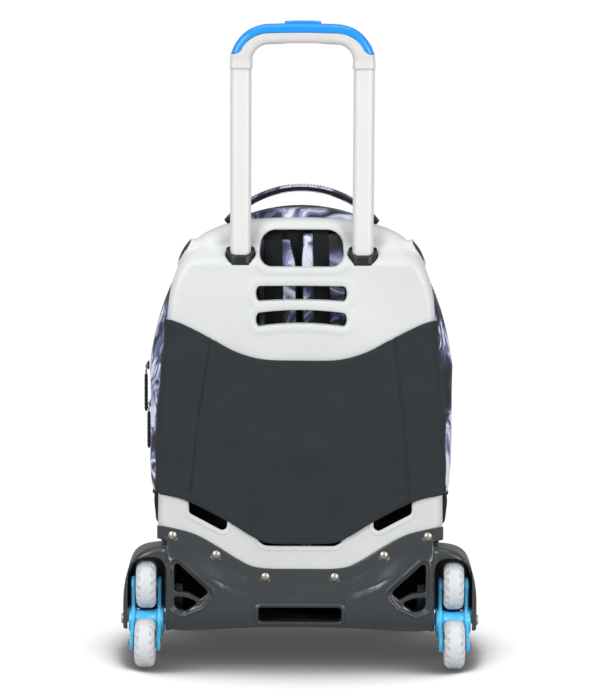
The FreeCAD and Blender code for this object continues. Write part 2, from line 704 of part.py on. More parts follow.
def rivets():
    """Domed rivets that clamp the base's band to the shell, each with its inner burr washer."""
    made = []
    for x, z in rivet_places:
        for sign in (-1, 1):
            dome_radius = (rivet_head_radius ** 2 + rivet_head_height ** 2) / (2 * rivet_head_height)
            dome = Part.makeSphere(dome_radius, V(sign * x, base_back - rivet_head_height + dome_radius, z))
            dome = dome.common(box(sign * x - 10, sign * x + 10, base_back - 5, base_back, z - 10, z + 10))
            inner = shell_back + shell_wall
            shank = rod_y(sign * x, base_back - 0.1, inner + 1.5, z, rivet_shank_radius)
            washer = rod_y(sign * x, inner, inner + 1.5, z, rivet_head_radius)
            made.append(dome.fuse([shank, washer]).removeSplitter())
    return Part.makeCompound(made)


def front_feet():
    feet = []
    for sign in (-1, 1):
        cone = Part.makeCone(foot_sole_radius, foot_top_radius, base_bottom - foot_pad_height,
                             V(sign * foot_x, foot_y, foot_pad_height))
        feet.append(cone)
    return Part.makeCompound(feet)


def foot_pads():
    pads = []
    for sign in (-1, 1):
        pad = rod_z(sign * foot_x, foot_y, 0.0, foot_pad_height, foot_sole_radius)
        pads.append(pad.makeFillet(1.0, [e for e in pad.Edges if e.BoundBox.ZMax < 0.1]))
    return Part.makeCompound(pads)


# ---- wheel stars --------------------------------------------------------------------------------------
star_angles = {"top": 90.0, "rear": 210.0, "front": 330.0}


def wheel_centre(which):
    angle = math.radians(star_angles[which])
    return star_y + star_radius * math.cos(angle), star_z + star_radius * math.sin(angle)


def main_axle(sign):
    shank = rod_x(base_half_width - base_wall - push_nut_height, cheek_out, star_y, star_z, axle_radius)
    head = rod_x(cheek_out, cheek_out + axle_head_height, star_y, star_z, axle_head_radius)
    head = head.makeFillet(1.4, [e for e in head.Edges if e.BoundBox.XMin > cheek_out + axle_head_height - 0.1])
    nut_x = base_half_width - base_wall
    nut = rod_x(nut_x - push_nut_height, nut_x, star_y, star_z, push_nut_radius)
    return on_side(shank.fuse([head, nut]).removeSplitter(), sign)


def axle_spacers():
    spacers = []
    for sign in (-1, 1):
        x0, x1 = base_half_width, star_x - half_star - clearance
        ring = rod_x(x0, x1, star_y, star_z, push_nut_radius)
        ring = ring.cut(rod_x(x0, x1, star_y, star_z, axle_radius + running))
        spacers.append(on_side(ring, sign))
    return Part.makeCompound(spacers)


def star_half(outward):
    """One moulded half of a star: three-armed plate, boss disc outside it and half of the barrel inside it."""
    x0 = plate_gap / 2
    x1 = x0 + plate_thickness
    half = rod_x(0, x0, star_y, star_z, barrel_radius)
    half = half.fuse(rod_x(x0, x1 + boss_disc_height, star_y, star_z, boss_disc_radius))
    for name in star_angles:
        y, z = wheel_centre(name)
        tip = rod_x(x0, x1, y, z, arm_radius)
        arm = box(x0, x1, 0, star_radius, -arm_radius, arm_radius)
        arm.rotate(V(0, 0, 0), V(1, 0, 0), star_angles[name])
        arm.translate(V(0, star_y, star_z))
        half = half.fuse([tip, arm])
    for name in star_angles:
        y, z = wheel_centre(name)
        half = half.cut(rod_x(x0 - 1, x1 + 5, y, z, wheel_pin_radius))
    half = half.cut(rod_x(-1, x1 + 10, star_y, star_z, axle_radius + 1.5 * running)).removeSplitter()
    if not outward:
        half = mirrored(half)
    half.translate(V(star_x, 0, 0))
    return half


def wheel_pins():
    pins = []
    reach = plate_gap / 2 + plate_thickness
    for name in star_angles:
        y, z = wheel_centre(name)
        pin = rod_x(-reach, reach, y, z, wheel_pin_radius)
        for end in (-1, 1):
            radius = (pin_head_radius ** 2 + pin_head_height ** 2) / (2 * pin_head_height)
            ball = Part.makeSphere(radius, V(end * (reach + pin_head_height - radius), y, z))
            x0, x1 = sorted((end * reach, end * (reach + 4)))
            pin = pin.fuse(ball.common(box(x0, x1, y - 9, y + 9, z - 9, z + 9)))
        pin = pin.removeSplitter()
        pin.translate(V(star_x, 0, 0))
        pins.append(pin)
    return Part.makeCompound(pins)


def tyre(which):
    """Cast tyre: round shoulders, flat crown."""
    y, z = wheel_centre(which)
    half, r = wheel_width / 2, wheel_shoulder
    crown = half - r

    def at(dx, radius):
        return V(star_x + dx, y, z + radius)

    diagonal = r * (1 - math.sqrt(0.5))
    profile = Part.Wire([
        Part.LineSegment(at(-half, core_radius), at(-half, wheel_radius - r)).toShape(),
        Part.Arc(at(-half, wheel_radius - r), at(-half + diagonal, wheel_radius - diagonal),
                 at(-crown, wheel_radius)).toShape(),
        Part.LineSegment(at(-crown, wheel_radius), at(crown, wheel_radius)).toShape(),
        Part.Arc(at(crown, wheel_radius), at(half - diagonal, wheel_radius - diagonal),
                 at(half, wheel_radius - r)).toShape(),
        Part.LineSegment(at(half, wheel_radius - r), at(half, core_radius)).toShape(),
        Part.LineSegment(at(half, core_radius), at(-half, core_radius)).toShape()])
    return Part.Face(profile).revolve(V(star_x, y, z), V(1, 0, 0), 360)


def wheel_core(which):
    y, z = wheel_centre(which)
    boss_half = plate_gap / 2 - clearance
    core = rod_x(star_x - core_width / 2, star_x + core_width / 2, y, z, core_radius)
    core = core.fuse(rod_x(star_x - boss_half, star_x + boss_half, y, z, core_boss_radius))
    return core.cut(rod_x(star_x - 20, star_x + 20, y, z, wheel_pin_radius + running)).removeSplitter()


# ---- pack ---------------------------------------------------------------------------------------------
main_stations = [(pack_back, 0.90, 0.955), (pack_back + 6, 0.955, 0.98), (pack_back + 20, 0.99, 1.0),
                 (main_zip_y + 4, 1.0, 1.0), (pack_mid - 12, 0.995, 0.995), (pack_mid, 0.975, 0.98)]
front_stations = [(pack_mid + 0.2, 0.975, 0.985), (front_zip_y - 5, 1.0, 1.0), (front_zip_y + 5, 1.0, 1.0), (pack_front - 16, 0.985, 0.99),
                  (pack_front - 5, 0.95, 0.965), (pack_front, 0.89, 0.93)]


def well_notch(grow):
    """Room in the pack's lower corner for one wheel cover."""
    return box(cheek_out - 53.0 - grow, 220, pack_back - 5, star_y + well_outer_radius + 4 + grow, 20,
               137.0 + grow)


def hollow(half, top, stations, notch):
    """Fabric compartment: the outer form less the same form taken in by the fabric's thickness."""
    outer = pack_loft(half, top, stations)
    first, last = stations[0][0], stations[-1][0]
    span = last - first
    inner_stations = [(first + fabric + (y - first) * (span - 2 * fabric) / span, kx, kz) for y, kx, kz in stations]
    inner = pack_loft(half, top, inner_stations, -fabric)
    if notch:
        for sign in (-1, 1):
            outer = outer.cut(on_side(well_notch(0.0), sign))
            inner = inner.cut(on_side(well_notch(fabric), sign))
    return outer.cut(inner)


def halves(shape):
    """The boot below boot_top, and the printed part above it."""
    low = shape.common(box(-300, 300, -200, 200, 0, boot_top))
    high = shape.common(box(-300, 300, -200, 200, boot_top, 600))
    return low, high


def back_panel():
    """Padded back of the pack, which sits inside the shell's rim."""
    wire = shell_wire(shell_wall + panel_inset, 0)
    panel = slab(wire, shell_front - panel_thickness, shell_front + 1.2)
    panel = panel.common(box(-200, 200, -100, 0, 118, 455))
    for sign in (-1, 1):
        panel = panel.cut(on_side(corner_bar(boss_length + 6, boss_width + 8, -boss_depth - 10, 3.0), sign))
    return panel


def front_pocket():
    low, high, half = pocket_low, pocket_high, pocket_half_width
    base = rounded([(-half, low), (-half + 8, high), (half - 8, high), (half, low)], 22.0, pack_front + 0.1)
    mid = rounded([(-half + 3, low + 3), (-half + 11, high - 8), (half - 11, high - 8), (half - 3, low + 3)], 24.0,
                  depth / 2 - 9)
    face = rounded([(-half + 14, low + 14), (-half + 24, high - 34), (half - 24, high - 34), (half - 14, low + 14)],
                   26.0, depth / 2)
    outer = Part.makeLoft([base, mid, face], True, True)
    inner = Part.makeLoft([
        rounded([(-half + 3, low + 3), (-half + 11, high - 3), (half - 11, high - 3), (half - 3, low + 3)], 20.0,
                pack_front + 2.6),
        rounded([(-half + 17, low + 17), (-half + 27, high - 37), (half - 27, high - 37), (half - 17, low + 17)],
                24.0, depth / 2 - 3)], True, True)
    return outer.cut(inner)


def strap(sign):
    """Padded shoulder strap, hanging flat between the shell and the pack."""
    back = shell_front - panel_thickness - clearance - strap_thickness
    x0 = sign * strap_x - strap_width / 2
    bar = box(x0, x0 + strap_width, back, back + strap_thickness, strap_bottom, strap_top)
    return bar.makeFillet(3.0, [e for e in bar.Edges if e.BoundBox.ZLength > 100])


def zip_band(half, top, y, low):
    """Zip tape and coil along the outline, standing zip_rise proud, from low on one side over to the other."""
    outer = Part.Face(pack_wire(half, top, y - zip_width / 2, grow=clearance + zip_rise))
    inner = Part.Face(pack_wire(half, top, y - zip_width / 2, grow=clearance))
    band = outer.cut(inner).extrude(V(0, zip_width, 0))
    return band.common(box(-300, 300, -200, 200, low, 600))


def side_slider(y, z):
    """Zip slider body on the left side of the pack."""
    x1 = -pack_half - clearance - zip_rise - 0.2
    body = box(x1 - slider_thickness, x1, y - 4.0, y + 4.0, z - slider_height / 2, z + slider_height / 2)
    body = body.makeFillet(1.2, [e for e in body.Edges if e.BoundBox.XMax < x1 - 0.1])
    return body


def side_pull(y, z):
    """Ring and cord tab that hang from a side slider, outside it."""
    x = -pack_half - clearance - zip_rise - 0.2 - slider_thickness - 1.6
    ring = Part.makeTorus(4.6, 0.9, V(x, y, z - 4.0), V(1, 0, 0))
    tab = stadium(0, 0, 5.0, 2.4, 0, pull_length)
    tab.rotate(V(0, 0, 0), V(0, 0, 1), 90)
    tab.translate(V(x, y, z - 8.6 - pull_length))
    return ring.fuse(tab)


def carry_handle():
    """Padded grab strap, as an arch over the pack's top."""
    rise = carry_top - carry_foot
    radius = (carry_half_span ** 2 + rise ** 2) / (2 * rise)
    centre_z = carry_top - radius
    outer = rod_y(0, carry_y - carry_width / 2, carry_y + carry_width / 2, centre_z, radius)
    inner = rod_y(0, carry_y - carry_width, carry_y + carry_width, centre_z, radius - carry_thickness)
    arch = outer.cut(inner).common(box(-200, 200, -200, 200, carry_foot, 700))
    return arch


def pocket_zip():
    z = pocket_high + 52
    return box(-96, 96, pack_front + 0.1, pack_front + 0.1 + zip_rise, z - zip_width / 2, z + zip_width / 2)


def pocket_slider():
    z = pocket_high + 52
    y0 = pack_front + 0.1 + zip_rise + 0.2
    body = box(-4.5 + 80, 4.5 + 80, y0, y0 + slider_thickness, z - 4, z + 4)
    return body.makeFillet(1.2, [e for e in body.Edges if e.BoundBox.YMin > y0 + 0.1])


def pocket_pull():
    z = pocket_high + 52
    y = pack_front + 0.1 + zip_rise + 0.2 + slider_thickness + 1.6
    ring = Part.makeTorus(4.6, 0.9, V(80, y, z - 4.0), V(0, 1, 0))
    tab = stadium(0, 0, 5.0, 2.4, 0, pull_length - 12)
    tab.translate(V(80, y, z - 8.6 - pull_length + 12))
    return ring.fuse(tab)


# ---- assembly -----------------------------------------------------------------------------------------
def make_trolley():
    parts["back_shell"] = back_shell()
    parts["back_cover"] = back_cover()
    parts["base_moulding"] = base_moulding()
    parts["base_rivets"] = rivets()
    parts["tube_feet"] = tube_feet()
    parts["front_feet"] = front_feet()
    parts["foot_pads"] = foot_pads()
    parts["axle_spacers"] = axle_spacers()
    parts["outer_tubes"] = both(sleeve)
    parts["tube_collars"] = both(collar)
    parts["main_axles"] = both(main_axle)
    for name, sign in sides.items():
        parts["corner_button_" + name] = corner_button(sign)
        parts["corner_spring_" + name] = corner_spring(sign)


def make_handle():
    parts["grip_body"], parts["grip_cover"] = grip_pieces()
    parts["grip_button"] = release_button()
    parts["push_rods"] = push_rods()
    parts["button_spring"] = button_spring()
    parts["handle_tubes"] = both(handle_tube)
    parts["lock_blocks"] = both(lock_block)
    for name, sign in sides.items():
        parts["lock_pin_" + name] = lock_pin(sign)
        parts["lock_spring_" + name] = lock_spring(sign)


def make_stars():
    for name, sign in sides.items():
        pair = Part.makeCompound([star_half(True), star_half(False)])
        parts["star_plates_" + name] = on_side(pair, sign)
        parts["wheel_pins_" + name] = on_side(wheel_pins(), sign)
        for which in star_angles:
            parts["tyre_%s_%s" % (name, which)] = on_side(tyre(which), sign)
            parts["core_%s_%s" % (name, which)] = on_side(wheel_core(which), sign)


def make_pack():
    parts["bag_boot"], parts["bag_main"] = halves(hollow((pack_low, pack_high), pack_top, main_stations, True))
    parts["front_boot"], parts["front_bag"] = halves(hollow((pack_low, front_high), front_top, front_stations, False))
    parts["front_pocket"] = front_pocket()
    parts["back_panel"] = back_panel()
    parts["shoulder_straps"] = both(strap)
    parts["carry_handle"] = carry_handle()
    parts["zip_main"] = zip_band((pack_low, pack_high), pack_top, main_zip_y, 206.0)
    parts["zip_front"] = zip_band((pack_low, front_high), front_top, front_zip_y, 206.0)
    parts["zip_pocket"] = pocket_zip()
    parts["slider_main"] = side_slider(main_zip_y, main_slider_z)
    parts["pull_main"] = side_pull(main_zip_y, main_slider_z)
    parts["slider_front"] = side_slider(front_zip_y, front_slider_z)
    parts["pull_front"] = side_pull(front_zip_y, front_slider_z)
    parts["slider_pocket"] = pocket_slider()
    parts["pull_pocket"] = pocket_pull()


def main():
    make_trolley()
    make_handle()
    make_stars()
    make_pack()
    os.makedirs("parts", exist_ok=True)
    for name, shape in parts.items():
        shape.exportStep("parts/%s.step" % name)
    bad = [n for n, s in parts.items() if not s.isValid() or any(x.Volume <= 0 for x in s.Solids) or not s.Solids]
    print(len(parts), "nodes; invalid:", bad)


main()
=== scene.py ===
"""Looks of the wheeled backpack: moulded shell, base, grip and stars, sewn pack, wheels and their finishes.

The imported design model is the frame. Lengths are in millimetres up to the point where a mesh is made.
Moulded parts are distance fields (negative inside) that are turned into smooth meshes.
"""

import math
from functools import reduce

import bpy
import numpy as np
from mathutils import Matrix, Vector


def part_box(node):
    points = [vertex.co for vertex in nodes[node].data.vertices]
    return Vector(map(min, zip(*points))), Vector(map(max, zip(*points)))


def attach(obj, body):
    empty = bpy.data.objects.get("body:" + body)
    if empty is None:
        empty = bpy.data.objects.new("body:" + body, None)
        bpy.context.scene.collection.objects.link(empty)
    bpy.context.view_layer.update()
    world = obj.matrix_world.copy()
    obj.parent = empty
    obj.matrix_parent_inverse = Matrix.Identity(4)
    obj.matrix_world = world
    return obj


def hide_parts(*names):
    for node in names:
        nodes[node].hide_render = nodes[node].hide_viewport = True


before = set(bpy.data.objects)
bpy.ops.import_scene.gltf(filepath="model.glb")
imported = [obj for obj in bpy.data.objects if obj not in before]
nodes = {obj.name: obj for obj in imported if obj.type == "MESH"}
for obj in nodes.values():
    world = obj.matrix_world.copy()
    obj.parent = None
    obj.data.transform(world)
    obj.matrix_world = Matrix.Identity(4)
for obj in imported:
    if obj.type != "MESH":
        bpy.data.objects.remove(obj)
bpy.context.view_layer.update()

MM = 0.001
FINE = 1.2            # grid of the large mouldings, in mm
SIDES = {"left": -1, "right": 1}


def box_mm(*names):
    """Lowest and highest corner, in mm, of one or several design nodes."""
    lows, highs = zip(*[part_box(n) for n in names])
    low = np.min([list(v) for v in lows], axis=0) / MM
    high = np.max([list(v) for v in highs], axis=0) / MM
    return low, high


# ---- driving sizes, in mm -----------------------------------------------------------------------------
SHELL_BACK = -85.0
SHELL_FRONT = box_mm("back_shell")[1][1]
SHELL_WALL = 3.0
SHELL_EDGE = 9.0
SETBACK = 24.0
STEP_LOW, STEP_HIGH = 427.0, 443.0
SHELL_SIDE = [(150.6, 150), (150, 187), (148.6, 265), (145.6, 286), (141, 340), (140, 368), (138, 392),
              (131.5, 416), (117, 440), (98, 456), (60, 467.5)]
SHELL_TOP = 470.6
FLANGE_HEIGHT, FLANGE_HALF = 13.0, 146.0    # the shell's foot is a flat flange behind the base's band
SHELL_FOOT = [(149, 138), (111, 129), (85.5, 115), (66, 103), (44, 94)]
SHELL_BOTTOM = 93.0
LOW_WINDOW = [(76.5, 182), (77.5, 139.5), (117.5, 161), (118, 196)]
CORNER_CENTRE = np.array([123.4, -54.0, 436.5])
CORNER_NORMAL = np.array([0.851, -0.17, 0.497])
CORNER_NORMAL /= np.linalg.norm(CORNER_NORMAL)

BAND = [(151, 148.3), (136.5, 145.6), (111, 138.6), (85.5, 124.5), (66.2, 112.2), (44, 103)]
BAND_TOP = 102.0
BAND_HEIGHT = 13.5
BASE_WALL = 3.5
BASE_BACK = SHELL_BACK - BASE_WALL
BASE_HALF = 141.0
BASE_SWELL = 8.0                        # how far the base stands out behind its band
SKIRT = [(BASE_HALF, 37.0), (117, 35.5), (60, 38.6)]
SKIRT_MIDDLE = 40.0
WELL_RADIUS = 84.5
RIVETS = [(36.6, 93.4), (88.6, 117.1), (134.8, 137.6)]

axle_low, axle_high = box_mm("main_axles")
STAR_Y = (axle_low[1] + axle_high[1]) / 2
STAR_Z = (axle_low[2] + axle_high[2]) / 2
STAR_X = 163.0
STAR_RADIUS = 37.5
PLATE_GAP, PLATE = 24.0, 4.0
WHEEL_RADIUS = box_mm("tyre_left_top")[1][2] - box_mm("core_left_top")[1][2] + 15.0
WHEEL_WIDTH = 21.0
CHEEK_OUT = box_mm("base_moulding")[1][0]
CHEEK_IN = CHEEK_OUT - 5.0
STARS = {"top": 90.0, "rear": 210.0, "front": 330.0}    # each wheel's place round the axle, in degrees
SPOKES = 5
STAR_BORE, CORE_BORE = 4.25, 3.08

TUBE_X, TUBE_Y = 64.0, -72.0
TUBE_ROUND, TUBE_FLAT = 7.0, 4.0        # radius of a tube's ends, and half the flat between them
COLLAR_FOOT = 424.6
grip_low, grip_high = box_mm("grip_body", "grip_cover")
GRIP_END, GRIP_TOP = grip_low[2], grip_high[2]
COVER_END = box_mm("grip_cover")[0][2]
BUTTON_TOP = box_mm("grip_button")[1][2]


# ---- numbers and curves -------------------------------------------------------------------------------
def smooth_min(a, b, k):
    h = np.clip(0.5 + 0.5 * (b - a) / k, 0, 1)
    return b + (a - b) * h - k * h * (1 - h)


def meet(*fields):
    """What several solids have in common, or the highest of several values."""
    return reduce(np.maximum, fields)


def ramp(v, start, end):
    """0 before start, 1 after end, and an easy slope between them."""
    t = np.clip((v - start) / (end - start), 0, 1)
    return t * t * (3 - 2 * t)


def bump(v, width):
    return np.exp(-(v / width) ** 2)


def through(points, per=8, closed=False):
    """Points of a smooth curve through the given points."""
    p = np.array(points, float)
    if closed:
        p = np.vstack([p[-1], p, p[0], p[1]])
    else:
        p = np.vstack([2 * p[0] - p[1], p, 2 * p[-1] - p[-2]])
    out = []
    for a, b, c, d in zip(p, p[1:], p[2:], p[3:]):
        for t in np.arange(per) / per:
            out.append(0.5 * (2 * b + (c - a) * t + (2 * a - 5 * b + 4 * c - d) * t ** 2
                              + (3 * b - a - 3 * c + d) * t ** 3))
    if not closed:
        out.append(p[-2])
    return np.array(out)


def rounded(points, radius, steps=6):
    """Corners of a polygon turned by arcs of the given radius, or of one radius each."""
    p = np.array(points, float)
    radii = radius if isinstance(radius, (list, tuple)) else [radius] * len(p)
    out = []
    for i, r in enumerate(radii):
        a = p[i - 1] - p[i]
        b = p[(i + 1) % len(p)] - p[i]
        a /= np.linalg.norm(a)
        b /= np.linalg.norm(b)
        half = math.acos(np.clip(a @ b, -1, 1)) / 2
        middle = (a + b) / np.linalg.norm(a + b)
        centre = p[i] + middle * r / math.sin(half)
        first = p[i] + a * r / math.tan(half) - centre
        last = p[i] + b * r / math.tan(half) - centre
        for t in np.linspace(0, 1, steps):
            v = first * (1 - t) + last * t
            out.append(centre + v / np.linalg.norm(v) * r)
    return np.array(out)


def both_sides(half, top):
    """A half outline that rises to (0, top), and its mirror image going down again."""
    return half + [(0.0, top)] + [(-x, z) for x, z in reversed(half)]


def collar_shape(ax, y):
    """Distance to the outline of a collar seen from above."""
    return capsule(ax - TUBE_X, y - TUBE_Y + 1.0, (-3, 0), (3, 0)) - 12.4


def tube_shape(ax, y):
    """Distance to the outline of a handle tube."""
    return capsule(ax - TUBE_X, y - TUBE_Y, (-TUBE_FLAT, 0), (TUBE_FLAT, 0)) - TUBE_ROUND


class Outline:
    """Signed distance to a closed outline in a plane, negative inside, read from a fine lookup grid."""

    def __init__(self, points, cell=1.0, margin=24.0):
        p = np.array(points, float)
        q = np.roll(p, -1, axis=0)
        self.low = p.min(0) - margin
        self.cell = cell
        counts = np.ceil((p.max(0) + margin - self.low) / cell).astype(int) + 1
        u, v = np.meshgrid(*[low + cell * np.arange(n) for low, n in zip(self.low, counts)], indexing="ij")
        near = np.full(u.shape, 1e9)
        inside = np.zeros(u.shape, bool)
        for a, b in zip(p, q):
            d = b - a
            t = np.clip(((u - a[0]) * d[0] + (v - a[1]) * d[1]) / max(d @ d, 1e-9), 0, 1)
            near = np.minimum(near, (u - a[0] - t * d[0]) ** 2 + (v - a[1] - t * d[1]) ** 2)
            if a[1] != b[1]:
                crosses = (a[1] > v) != (b[1] > v)
                inside ^= crosses & (u < a[0] + (v - a[1]) * d[0] / d[1])
        self.values = (np.sqrt(near) * np.where(inside, -1, 1)).astype(np.float32)

    def __call__(self, u, v):
        nu, nv = self.values.shape
        fu = (u - self.low[0]) / self.cell
        fv = (v - self.low[1]) / self.cell
        cu = np.clip(fu, 0, nu - 1.001)
        cv = np.clip(fv, 0, nv - 1.001)
        i, j = np.floor(cu).astype(int), np.floor(cv).astype(int)
        a, b = cu - i, cv - j
        i, j = np.broadcast_arrays(i, j)
        t = self.values
        near = t[i, j] * (1 - a) + t[i + 1, j] * a
        far = t[i, j + 1] * (1 - a) + t[i + 1, j + 1] * a
        return near * (1 - b) + far * b + self.cell * (abs(fu - cu) + abs(fv - cv))


def capsule(u, v, a, b):
    """Distance to the straight stretch from a to b, in a plane."""
    du, dv = b[0] - a[0], b[1] - a[1]
    t = np.clip(((u - a[0]) * du + (v - a[1]) * dv) / (du * du + dv * dv), 0, 1)
    return np.hypot(u - a[0] - t * du, v - a[1] - t * dv)


def round_box(u, v, half_u, half_v, r):
    """Signed distance to a rectangle with rounded corners, round the origin of a plane."""
    qu, qv = abs(u) - half_u + r, abs(v) - half_v + r
    return np.hypot(np.maximum(qu, 0), np.maximum(qv, 0)) + np.minimum(np.maximum(qu, qv), 0) - r


def run_along(path):
    """Length of a path up to each of its points."""
    return np.concatenate([[0], np.cumsum(np.linalg.norm(np.diff(path, axis=0), axis=1))])


# ---- meshes -------------------------------------------------------------------------------------------
def mesh_object(name, verts, faces, uvs=None, smooth=True, crease=None):
    """Object from vertices in mm; uvs are per vertex, in mm."""
    mesh = bpy.data.meshes.new(name)
    verts = np.asarray(verts, float) * MM
    mesh.from_pydata(verts.tolist(), [], [list(map(int, f)) for f in faces])
    if uvs is not None:
        layer = mesh.uv_layers.new(name="cloth")
        uv = np.asarray(uvs, float) * MM
        index = np.zeros(len(mesh.loops), int)
        mesh.loops.foreach_get("vertex_index", index)
        layer.data.foreach_set("uv", uv[index].ravel())
    mesh.polygons.foreach_set("use_smooth", [smooth] * len(mesh.polygons))
    if crease is not None:
        mesh.set_sharp_from_angle(angle=math.radians(crease))
    mesh.update()
    obj = bpy.data.objects.new(name, mesh)
    bpy.context.scene.collection.objects.link(obj)
    return obj


def carve(name, field, low, high, step):
    """Smooth mesh of the solid where field(x, y, z) is negative, inside the box from low to high."""
    axes = [np.arange(a - 3 - step, b + 3 + 2 * step, step) for a, b in zip(low, high)]
    counts = tuple(len(a) for a in axes)
    values = field(axes[0][:, None, None], axes[1][None, :, None], axes[2][None, None, :])
    values = np.broadcast_to(values, counts).astype(np.float32)
    inside = values < 0
    cell_shape = tuple(n - 1 for n in counts)
    cell_ids, cell_points, quads = [], [], []
    for axis in range(3):
        here, there = [slice(None)] * 3, [slice(None)] * 3
        here[axis], there[axis] = slice(0, -1), slice(1, None)
        cross = inside[tuple(here)] != inside[tuple(there)]
        index = np.array(np.nonzero(cross))
        a, b = values[tuple(here)][cross], values[tuple(there)][cross]
        point = np.stack([axes[k][index[k]] for k in range(3)], axis=1)
        point[:, axis] += step * a / (a - b)
        others = [k for k in range(3) if k != axis]
        around = []
        for du, dv in ((-1, -1), (0, -1), (0, 0), (-1, 0)):
            moved = index.copy()
            moved[others[0]] += du
            moved[others[1]] += dv
            around.append(np.ravel_multi_index(tuple(moved), cell_shape))
            cell_ids.append(around[-1])
            cell_points.append(point)
        around = np.stack(around, axis=1)
        turned = (a < 0) == (axis == 1)
        around[turned] = around[turned][:, ::-1]
        quads.append(around)
    ids, slot = np.unique(np.concatenate(cell_ids), return_inverse=True)
    points = np.concatenate(cell_points)
    share = np.bincount(slot)
    verts = np.stack([np.bincount(slot, points[:, k]) / share for k in range(3)], axis=1)
    h = 0.2 * step
    for _ in range(3):
        x, y, z = verts.T
        f = field(x, y, z)
        slope = np.stack([field(x + a, y + b, z + c) - field(x - a, y - b, z - c)
                          for a, b, c in ((h, 0, 0), (0, h, 0), (0, 0, h))], axis=1) / (2 * h)
        size = np.maximum((slope ** 2).sum(1), 0.05)
        move = slope * (f / size)[:, None]
        length = np.maximum(np.linalg.norm(move, axis=1), 1e-9)
        verts = verts - move * np.minimum(1, 0.4 * step / length)[:, None]
    faces = np.searchsorted(ids, np.concatenate(quads))
    return mesh_object(name, verts, faces)


def grid_faces(nu, nv, wrap=False):
    """Quads of a grid of nu columns by nv rows; wrap joins the last column to the first."""
    faces = []
    for i in range(nu if wrap else nu - 1):
        k = (i + 1) % nu
        for j in range(nv - 1):
            faces.append((i * nv + j, k * nv + j, k * nv + j + 1, i * nv + j + 1))
    return faces


def sweep(name, path, across, section, closed=False):
    """Section of (along across, along the third direction) points carried along a path, in mm."""
    path, across = np.asarray(path, float), np.asarray(across, float)
    if across.ndim == 1:
        across = np.tile(across, (len(path), 1))
    if closed:
        ahead = np.roll(path, -1, axis=0) - np.roll(path, 1, axis=0)
    else:
        ahead = np.gradient(path, axis=0)
    ahead /= np.linalg.norm(ahead, axis=1)[:, None]
    across = across - ahead * (across * ahead).sum(1)[:, None]
    across /= np.linalg.norm(across, axis=1)[:, None]
    third = np.cross(ahead, across)
    section = np.asarray(section, float)
    n, m = len(path), len(section)
    verts = path[:, None] + across[:, None] * section[None, :, :1] + third[:, None] * section[None, :, 1:]
    run = run_along(path)
    girth = run_along(section)
    uvs = np.stack(np.meshgrid(girth, run), axis=-1)[..., :2]
    faces = []
    for i in range(n if closed else n - 1):
        k = (i + 1) % n
        for j in range(m):
            l = (j + 1) % m
            faces.append((i * m + j, i * m + l, k * m + l, k * m + j))
    if not closed:
        faces.append(tuple(range(m))[::-1])
        faces.append(tuple((n - 1) * m + j for j in range(m)))
    return mesh_object(name, verts.reshape(-1, 3), faces, uvs.reshape(-1, 2), crease=50)


def flat_section(width, thickness, steps=3):
    """Section of a flat strap: width lies along the third direction, thickness along the first."""
    r = thickness / 2
    points = []
    for side in (1, -1):
        for k in range(steps + 1):
            turn = math.pi * k / steps
            points.append((r * math.cos(turn) * side, (width / 2 - r) * side + r * math.sin(turn) * side))
    return points


def ring_section(radius, steps=8):
    return [(radius * math.cos(2 * math.pi * k / steps), radius * math.sin(2 * math.pi * k / steps))
            for k in range(steps)]


def joined(name, objects):
    """One object from several, with their materials kept."""
    verts, faces, uvs, slots, mats = [], [], [], [], []
    for obj in objects:
        base = sum(len(v) for v in verts)
        mesh = obj.data
        co = np.zeros(len(mesh.vertices) * 3)
        mesh.vertices.foreach_get("co", co)
        verts.append(co.reshape(-1, 3))
        layer = mesh.uv_layers.active
        for poly in mesh.polygons:
            faces.append([v + base for v in poly.vertices])
            material = obj.data.materials[poly.material_index] if obj.data.materials else None
            if material not in mats:
                mats.append(material)
            slots.append(mats.index(material))
            for l in poly.loop_indices:
                uvs.append(tuple(layer.data[l].uv) if layer else (0.0, 0.0))
    mesh = bpy.data.meshes.new(name)
    mesh.from_pydata(np.concatenate(verts).tolist(), [], faces)
    layer = mesh.uv_layers.new(name="cloth")
    layer.data.foreach_set("uv", np.array(uvs).ravel())
    mesh.polygons.foreach_set("use_smooth", [True] * len(mesh.polygons))
    mesh.polygons.foreach_set("material_index", slots)
    for material in mats:
        if material:
            mesh.materials.append(material)
    for obj in objects:
        bpy.data.objects.remove(obj)
    out = bpy.data.objects.new(name, mesh)
    bpy.context.scene.collection.objects.link(out)
    return out


